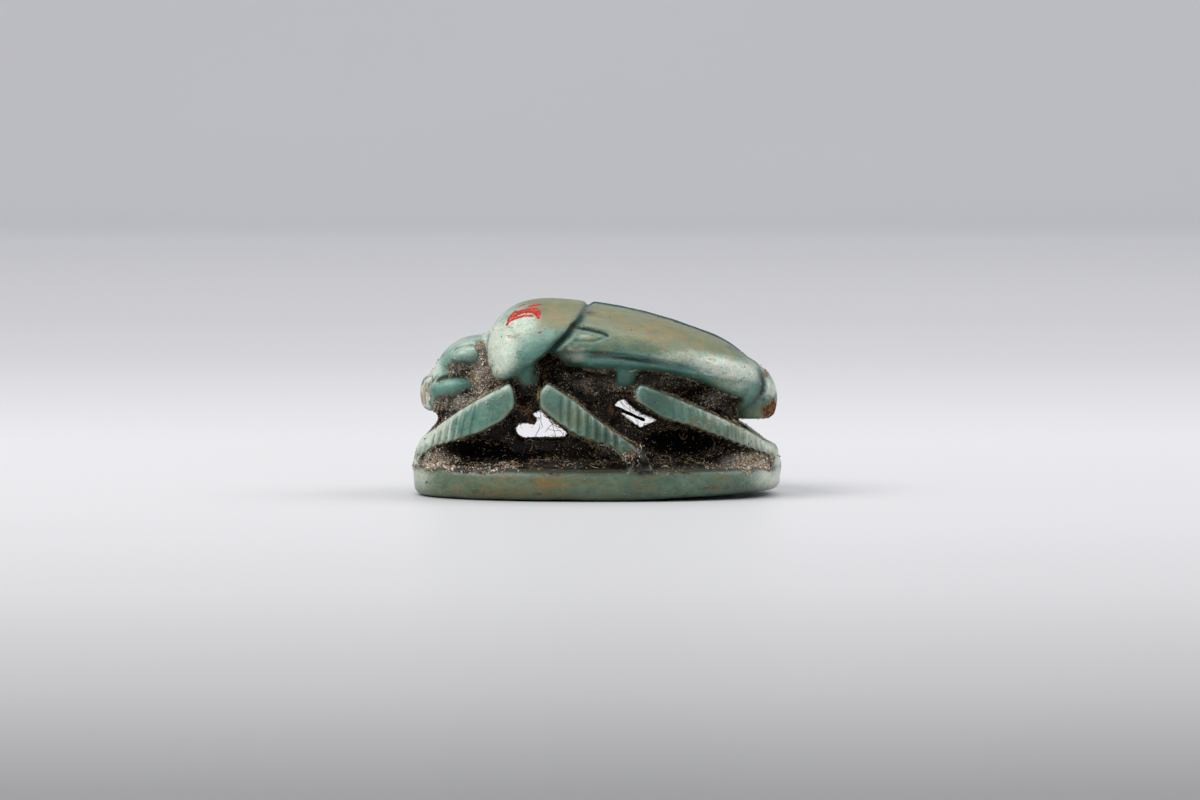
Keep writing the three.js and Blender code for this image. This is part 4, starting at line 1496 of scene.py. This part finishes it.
def random_turns(rng, n):
    q = rng.normal(size=(n, 4))
    q /= np.linalg.norm(q, axis=1, keepdims=True)
    w, x, y, z = q.T
    return np.stack(
        [
            np.stack([1 - 2 * (y * y + z * z), 2 * (x * y - z * w), 2 * (x * z + y * w)], 1),
            np.stack([2 * (x * y + z * w), 1 - 2 * (x * x + z * z), 2 * (y * z - x * w)], 1),
            np.stack([2 * (x * z - y * w), 2 * (y * z + x * w), 1 - 2 * (x * x + y * y)], 1),
        ],
        1,
    )


PALETTE = np.array(
    [
        (0.36, 0.225, 0.095),
        (0.62, 0.42, 0.18),
        (0.62, 0.57, 0.49),
        (0.040, 0.028, 0.018),
        (0.17, 0.100, 0.045),
        (0.85, 0.80, 0.71),
        (0.38, 0.14, 0.045),
    ]
)


def grains(name, p, tris, normals, weight, count, size, spread, odds, seed):
    """Loose angular grains that lie on the surface, more where weight is high."""
    rng = np.random.default_rng(seed)
    at, t = scatter(p, tris, weight, count, rng)
    up = normals[tris[t, 0]]
    size = np.clip(rng.lognormal(math.log(size), spread, count), 0.012, 0.085)
    shape = OCTA[None] * rng.uniform(0.55, 1.25, (count, 6, 1))
    turn = random_turns(rng, count)
    v = np.einsum("nij,nkj->nki", turn, shape * size[:, None, None])
    v = v + (at + up * (size * 0.35)[:, None])[:, None, :]
    tri = OCTA_TRIS[None] + (np.arange(count) * 6)[:, None, None]
    me = new_mesh(name, v.reshape(-1, 3), tri.reshape(-1, 3))
    pick = rng.choice(7, count, p=np.array(odds) / sum(odds))
    rgb = PALETTE[pick] * rng.uniform(0.6, 1.3, (count, 1))
    set_colour(me, "tint", np.repeat(rgb, 6, 0))
    me.materials.append(grain_material(name))
    return new_object(name, me, smooth=False)


def loose_soil(p, tris, normals, soil, sand, soil_shade):
    z = p[:, 2]
    on_soil = sstep(-0.03, 0.05, soil)
    rim = np.exp(-((soil / 0.07) ** 2))
    cluster = np.clip(fbm(p, 0.45, 301, 3, 0.6) * 1.6 + 0.55, 0.03, 1.5) ** 1.6
    fine = on_soil * (0.30 + 1.0 * sand) * (1 - 0.85 * soil_shade) + 1.1 * rim
    fine = (fine + 0.12 * sstep(-0.22, -0.05, soil)) * cluster + 0.003
    fine = fine + 0.12 * blob(p[:, 0], z, -0.5, 7.95, 0.5, 0.2) * cluster
    front = sstep(-7.2, -6.2, p[:, 0])
    fine = fine * (1 - (0.35 * front + 0.25 * sstep(-3.5, -2.5, p[:, 0])) * (1 - sstep(6.0, 6.6, p[:, 0])) * (z < 2.0))
    fine = fine * (z > 0.15) * (1 - 0.7 * (z > 7.0)) * (1 - 0.93 * (np.abs(p[:, 0]) > 8.55)) * (1 - 0.95 * (z > 8.8))
    coarse = (on_soil * np.clip(sand - 0.12, 0, 1.4) ** 1.3 + 0.12 * rim * (sand > 0.05)) * cluster
    x = p[:, 0]
    coarse = coarse + 0.25 * rim * (z > 1.3) * (z < 1.75) * (x < -3.5) * cluster
    coarse = coarse * (z > 1.2) + 1e-6
    many = 1.0
    return [
        grains("soil_grains", p, tris, normals, fine, int(24000 * many), 0.023, 0.40, (0.32, 0.24, 0.08, 0.14, 0.16, 0.02, 0.04), 5),
        grains("sand_grains", p, tris, normals, coarse, int(12000 * many), 0.033, 0.38, (0.14, 0.16, 0.32, 0.05, 0.06, 0.25, 0.02), 6),
    ]


def tube(path, radius, sides=3):
    """A closed thin tube along a path of points."""
    n = len(path)
    tangent = np.gradient(path, axis=0)
    tangent /= np.maximum(np.linalg.norm(tangent, axis=1, keepdims=True), 1e-9)
    ref = np.array([0.31, 0.52, 0.79])
    a = np.cross(tangent, ref)
    a /= np.maximum(np.linalg.norm(a, axis=1, keepdims=True), 1e-9)
    b = np.cross(tangent, a)
    k = 2 * np.pi * np.arange(sides) / sides
    r = radius * np.minimum(1, np.minimum(np.arange(n), np.arange(n)[::-1]) * 0.5 + 0.4)
    v = (
        path[:, None]
        + (a[:, None] * np.cos(k)[None, :, None] + b[:, None] * np.sin(k)[None, :, None])
        * r[:, None, None]
    )
    v = v.reshape(-1, 3)
    tri = []
    for i in range(n - 1):
        for j in range(sides):
            q = i * sides + j
            w = i * sides + (j + 1) % sides
            tri += [(q, w, w + sides), (q, w + sides, q + sides)]
    for j in range(1, sides - 1):
        tri += [(0, j + 1, j), ((n - 1) * sides, (n - 1) * sides + j, (n - 1) * sides + j + 1)]
    return v, np.array(tri)


def lint(p, tris, normals, soil, soil_shade):
    rng = np.random.default_rng(11)
    all_v, all_t, all_c, base = [], [], [], 0

    def take(path, radius, rgb):
        nonlocal base
        v, t = tube(path, radius)
        all_v.append(v)
        all_t.append(t + base)
        all_c.append(np.repeat(np.array([rgb]), len(v), 0))
        base += len(v)

    rim = np.exp(-((soil / 0.1) ** 2))
    weight = (sstep(0, 0.06, soil) * (0.5 - 0.4 * soil_shade) + rim) * (p[:, 2] > 1.6)
    weight = weight * (1 - 0.98 * (p[:, 2] > 7.4)) * (1 - 0.7 * (np.abs(p[:, 0]) > 7.2))
    weight = weight * (1 - 0.9 * (np.abs(p[:, 0]) > 8.1)) * (1 - 0.9 * ((p[:, 0] < -7.1) & (p[:, 2] > 5.2)))
    weight = weight * np.clip(fbm(p, 0.8, 411, 2) * 1.5 + 0.3, 0.02, 1) ** 1.5
    count = 2000
    at, t = scatter(p, tris, weight, count, rng)
    up = normals[tris[t, 0]]
    gold = np.array((0.50, 0.33, 0.14))
    for k in range(count):
        n = up[k]
        side = np.cross(n, rng.normal(size=3))
        side /= np.linalg.norm(side)
        other = np.cross(n, side)
        long = rng.uniform(0.14, 0.62)
        s = np.linspace(0, 1, 9)
        curl = rng.uniform(0.4, 3.2) * (1 if rng.random() < 0.5 else -1)
        ang = curl * s + rng.uniform(-0.2, 0.2) * np.sin(7 * s)
        dx = np.cumsum(np.cos(ang)) / 9 * long
        dy = np.cumsum(np.sin(ang)) / 9 * long
        rise = rng.uniform(0.02, 0.13) * np.sin(np.pi * np.clip(s * rng.uniform(0.6, 1.0), 0, 1))
        path = at[k] + side * dx[:, None] + other * dy[:, None] + n * (rise[:, None] - 0.01)
        shade = rng.uniform(0.25, 1.5)
        rgb = gold * shade if rng.random() < 0.8 else np.array((0.50, 0.47, 0.42)) * shade
        take(path, rng.uniform(0.008, 0.017), rgb)
    # threads across the two gaps
    dark = np.array((0.012, 0.010, 0.009))
    for (x0, z0), (x1, z1), y0, y1 in (
        ((-3.66, 3.42), (-2.95, 3.55), -0.8, -0.4),
        ((-2.72, 4.10), (-2.66, 3.30), -0.5, -1.0),
        ((-2.80, 3.45), (-3.05, 2.78), -0.9, -0.3),
        ((-2.66, 3.30), (-2.95, 2.80), -1.0, -0.6),
        ((-2.35, 3.65), (-1.60, 2.84), -1.2, -0.7),
        ((-2.45, 3.20), (-1.72, 3.16), -0.5, -1.1),
        ((-2.25, 3.50), (-2.05, 2.80), -0.7, -0.2),
        ((-2.10, 3.40), (-1.48, 3.05), -1.3, -0.9),
        ((-2.60, 3.86), (-2.25, 3.52), -1.1, -1.0),
        ((-2.5, 3.05), (-1.95, 3.42), -0.6, -0.2),
        ((1.05, 4.62), (1.72, 4.02), -0.9, -0.4),
        ((1.20, 4.66), (1.45, 4.12), -0.6, -0.9),
        ((1.55, 4.42), (1.60, 4.05), -0.4, -0.7),
        ((1.70, 4.02), (2.30, 3.62), -0.8, -0.5),
        ((2.10, 3.98), (2.02, 3.42), -0.3, -0.6),
        ((2.30, 3.95), (2.66, 3.62), -0.8, -0.3),
    ):
        s = np.linspace(-0.06, 1.06, 9)[:, None]
        path = np.array((x0, y0, z0)) * (1 - s) + np.array((x1, y1, z1)) * s
        bow = rng.normal(size=(1, 3)) * 0.07
        path = path + np.sin(np.pi * np.clip(s, 0, 1)) * bow + 0.012 * rng.normal(size=(9, 3))
        take(path, rng.uniform(0.009, 0.016), dark)
    me = new_mesh("lint", np.concatenate(all_v), np.concatenate(all_t))
    set_colour(me, "tint", np.concatenate(all_c))
    me.materials.append(lint_material())
    return new_object("lint", me)


def ink(p, tris):
    """Red pen strokes on the near side of the pronotum: an open arc with two short dashes, not letters or numbers."""
    tree = BVHTree.FromPolygons([Vector(v) for v in p.tolist()], tris.tolist())
    rng = np.random.default_rng(23)
    all_v, all_t, base = [], [], 0
    view = Vector((0.0, 1.0, -0.0524)).normalized()

    def drop(x, z):
        """The place on the surface met when looking from the near side at (x, z)."""
        hit = tree.ray_cast(Vector((x, -8.0, z + 0.084)), view)
        return hit[0], hit[1]

    def stroke(line, widths):
        nonlocal base
        line = np.array(line, float)
        seg = np.r_[0, np.cumsum(np.linalg.norm(np.diff(line, axis=0), axis=1))]
        n = max(8, int(seg[-1] / 0.035))
        at = np.linspace(0, seg[-1], n)
        path = np.stack([np.interp(at, seg, line[:, k]) for k in range(2)], 1)
        d = np.gradient(path, axis=0)
        d /= np.linalg.norm(d, axis=1, keepdims=True)
        across = np.stack([-d[:, 1], d[:, 0]], 1)
        w = np.interp(np.linspace(0, 1, n), np.linspace(0, 1, len(widths)), widths) / 2
        cols = 5
        top, bottom = [], []
        for i in range(n):
            ragged = 1 + 0.22 * rng.uniform(-1, 1, 2)
            for j in range(cols):
                u = (j / (cols - 1) * 2 - 1) * w[i]
                q = path[i] + across[i] * u * (ragged[0] if u < 0 else ragged[1])
                hit, normal = drop(*q)
                if hit is None:
                    return
                rise = 0.012 if 0 < j < cols - 1 and 0 < i < n - 1 else 0.002
                top.append(np.array(hit + normal * rise))
                bottom.append(np.array(hit - normal * 0.02))
        v = np.array(top + bottom)
        m = n * cols
        tri = []
        for i in range(n - 1):
            for j in range(cols - 1):
                a, b, c, e = i * cols + j, i * cols + j + 1, (i + 1) * cols + j + 1, (i + 1) * cols + j
                tri += [(a, b, c), (a, c, e), (a + m, c + m, b + m), (a + m, e + m, c + m)]
        ring = (
            [(0, j) for j in range(cols)]
            + [(i, cols - 1) for i in range(1, n)]
            + [(n - 1, j) for j in range(cols - 2, -1, -1)]
            + [(i, 0) for i in range(n - 2, 0, -1)]
        )
        ring = [i * cols + j for i, j in ring]
        for q, r in zip(ring, ring[1:] + ring[:1]):
            tri += [(q, q + m, r + m), (q, r + m, r)]
        all_v.append(v)
        all_t.append(np.array(tri) + base)
        base += len(v)

    stroke(
        [(-4.38, 8.5), (-4.22, 8.85), (-3.95, 9.1), (-3.55, 9.22), (-3.12, 9.26), (-2.86, 9.14), (-2.8, 8.84)],
        [0.08, 0.2, 0.3, 0.2, 0.26, 0.36, 0.14],
    )
    stroke([(-4.2, 8.72), (-3.84, 8.9), (-3.5, 8.99), (-3.1, 8.98)], [0.04, 0.1, 0.12, 0.09])
    stroke([(-3.34, 9.46), (-3.0, 9.54), (-2.68, 9.56)], [0.05, 0.14, 0.05])
    stroke([(-4.0, 9.38), (-3.5, 9.58)], [0.03, 0.05])
    stroke([(-2.86, 8.14), (-2.74, 8.17), (-2.64, 8.2)], [0.03, 0.08, 0.03])
    if not all_v:
        return None
    me = new_mesh("red_ink", np.concatenate(all_v), np.concatenate(all_t))
    me.materials.append(ink_material())
    return new_object("red_ink", me)


# ------------------------------------------------------------------------------------------------------------------
# Stage: floor and backdrop in one sweep, lights, camera
# ------------------------------------------------------------------------------------------------------------------
def stage():
    s = np.linspace(0, 1, 121)
    rows = []
    flat, bend, up = 0.55, 0.25, 0.5
    for t in s:
        if t < 0.5:
            rows.append((-0.45 + (flat + 0.45) * t * 2, 0.0))
        elif t < 0.75:
            a = (t - 0.5) * 4 * math.pi / 2
            rows.append((flat + bend * math.sin(a), bend - bend * math.cos(a)))
        else:
            rows.append((flat + bend, bend + up * (t - 0.75) * 4))
    xs = np.linspace(-0.9, 0.9, 31)
    v = [(x, y, z - 0.00002) for y, z in rows for x in xs]
    n = len(xs)
    quads = [
        (i * n + j, i * n + j + 1, (i + 1) * n + j + 1, (i + 1) * n + j)
        for i in range(len(rows) - 1)
        for j in range(n - 1)
    ]
    me = bpy.data.meshes.new("floor")
    me.from_pydata(v, [], quads)
    o = new_object("floor", me)
    mat = Shader("floor")
    n1 = mat.noise(0.02, 2, 0.4)
    split = mat.nt.nodes.new("ShaderNodeSeparateXYZ")
    mat.put(split.inputs[0], mat.P)
    # painted light falloff: the sweep darker towards the camera and lighter up the backdrop
    shade = [
        (-127, 0.165),
        (-96, 0.31),
        (-58, 0.425),
        (-10, 0.495),
        (45, 0.53),
        (147, 0.475),
        (217, 0.51),
        (320, 0.635),
        (475, 0.84),
        (620, 0.85),
    ]
    tone = mat.ramp(
        mat.math("MULTIPLY_ADD", split.outputs["Y"], 1 / 800, 0.2, clamp=True),
        [((y + 160) / 800, (v * 0.985, v * 0.985, v)) for y, v in shade],
    )
    tone = mat.mix(n1, tone, mat.mix(1.0, tone, (0.97, 0.97, 0.98), "MULTIPLY"))
    mat.put(mat.bsdf.inputs["Base Color"], tone)
    mat.put(mat.bsdf.inputs["Roughness"], mat.mad(n1, 0.1, 0.34))
    mat.bsdf.inputs["Specular IOR Level"].default_value = 0.35
    me.materials.append(mat.mat)


def area(name, location, target, size, watts, colour=(1, 1, 1), size_y=None):
    data = bpy.data.lights.new(name, "AREA")
    data.shape = "RECTANGLE"
    data.size, data.size_y = size, size_y or size
    data.energy, data.color = watts, colour
    o = bpy.data.objects.new(name, data)
    o.location = location
    o.rotation_euler = (Vector(target) - Vector(location)).to_track_quat("-Z", "Y").to_euler()
    bpy.context.scene.collection.objects.link(o)


def lights():
    aim = (0, 0, 0.005)
    area("left", (-0.22, -0.10, 0.28), aim, 0.22, 1.35, (1.0, 0.99, 0.97))
    area("right", (0.26, 0.03, 0.25), aim, 0.22, 0.75, (1.0, 1.0, 1.0))
    area("top", (0.0, 0.12, 0.34), aim, 0.25, 0.55, (1.0, 1.0, 1.0))
    area("front", (-0.10, -0.34, 0.20), aim, 0.2, 0.22, (0.98, 0.99, 1.0))
    world = bpy.data.worlds.new("studio")
    world.use_nodes = True
    world.node_tree.nodes["Background"].inputs["Color"].default_value = (0.93, 0.94, 1.0, 1)
    world.node_tree.nodes["Background"].inputs["Strength"].default_value = 0.5
    bpy.context.scene.world = world


def camera():
    data = bpy.data.cameras.new("camera")
    data.lens, data.sensor_width = 183.6, 36
    data.clip_start, data.clip_end = 0.01, 10
    o = bpy.data.objects.new("camera", data)
    aim, elevation, distance = Vector((0.00015, 0, 0.00457)), math.radians(3), 0.30
    back = Vector((0, -math.cos(elevation), math.sin(elevation)))
    o.location = aim + back * distance
    o.rotation_euler = (-back).to_track_quat("-Z", "Y").to_euler()
    bpy.context.scene.collection.objects.link(o)
    bpy.context.scene.camera = o


bpy.context.scene.view_settings.view_transform = "Standard"
carved, place, normal, soil_at, sand_at, soil_shade_at = stone()
faces = triangles(carved.data)
pieces = [
    carved,
    *loose_soil(place, faces, normal, soil_at, sand_at, soil_shade_at),
    lint(place, faces, normal, soil_at, soil_shade_at),
    ink(place, faces),
]
for piece in filter(None, pieces):
    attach(piece, "root")
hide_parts("scarab")
stage()
lights()
camera()
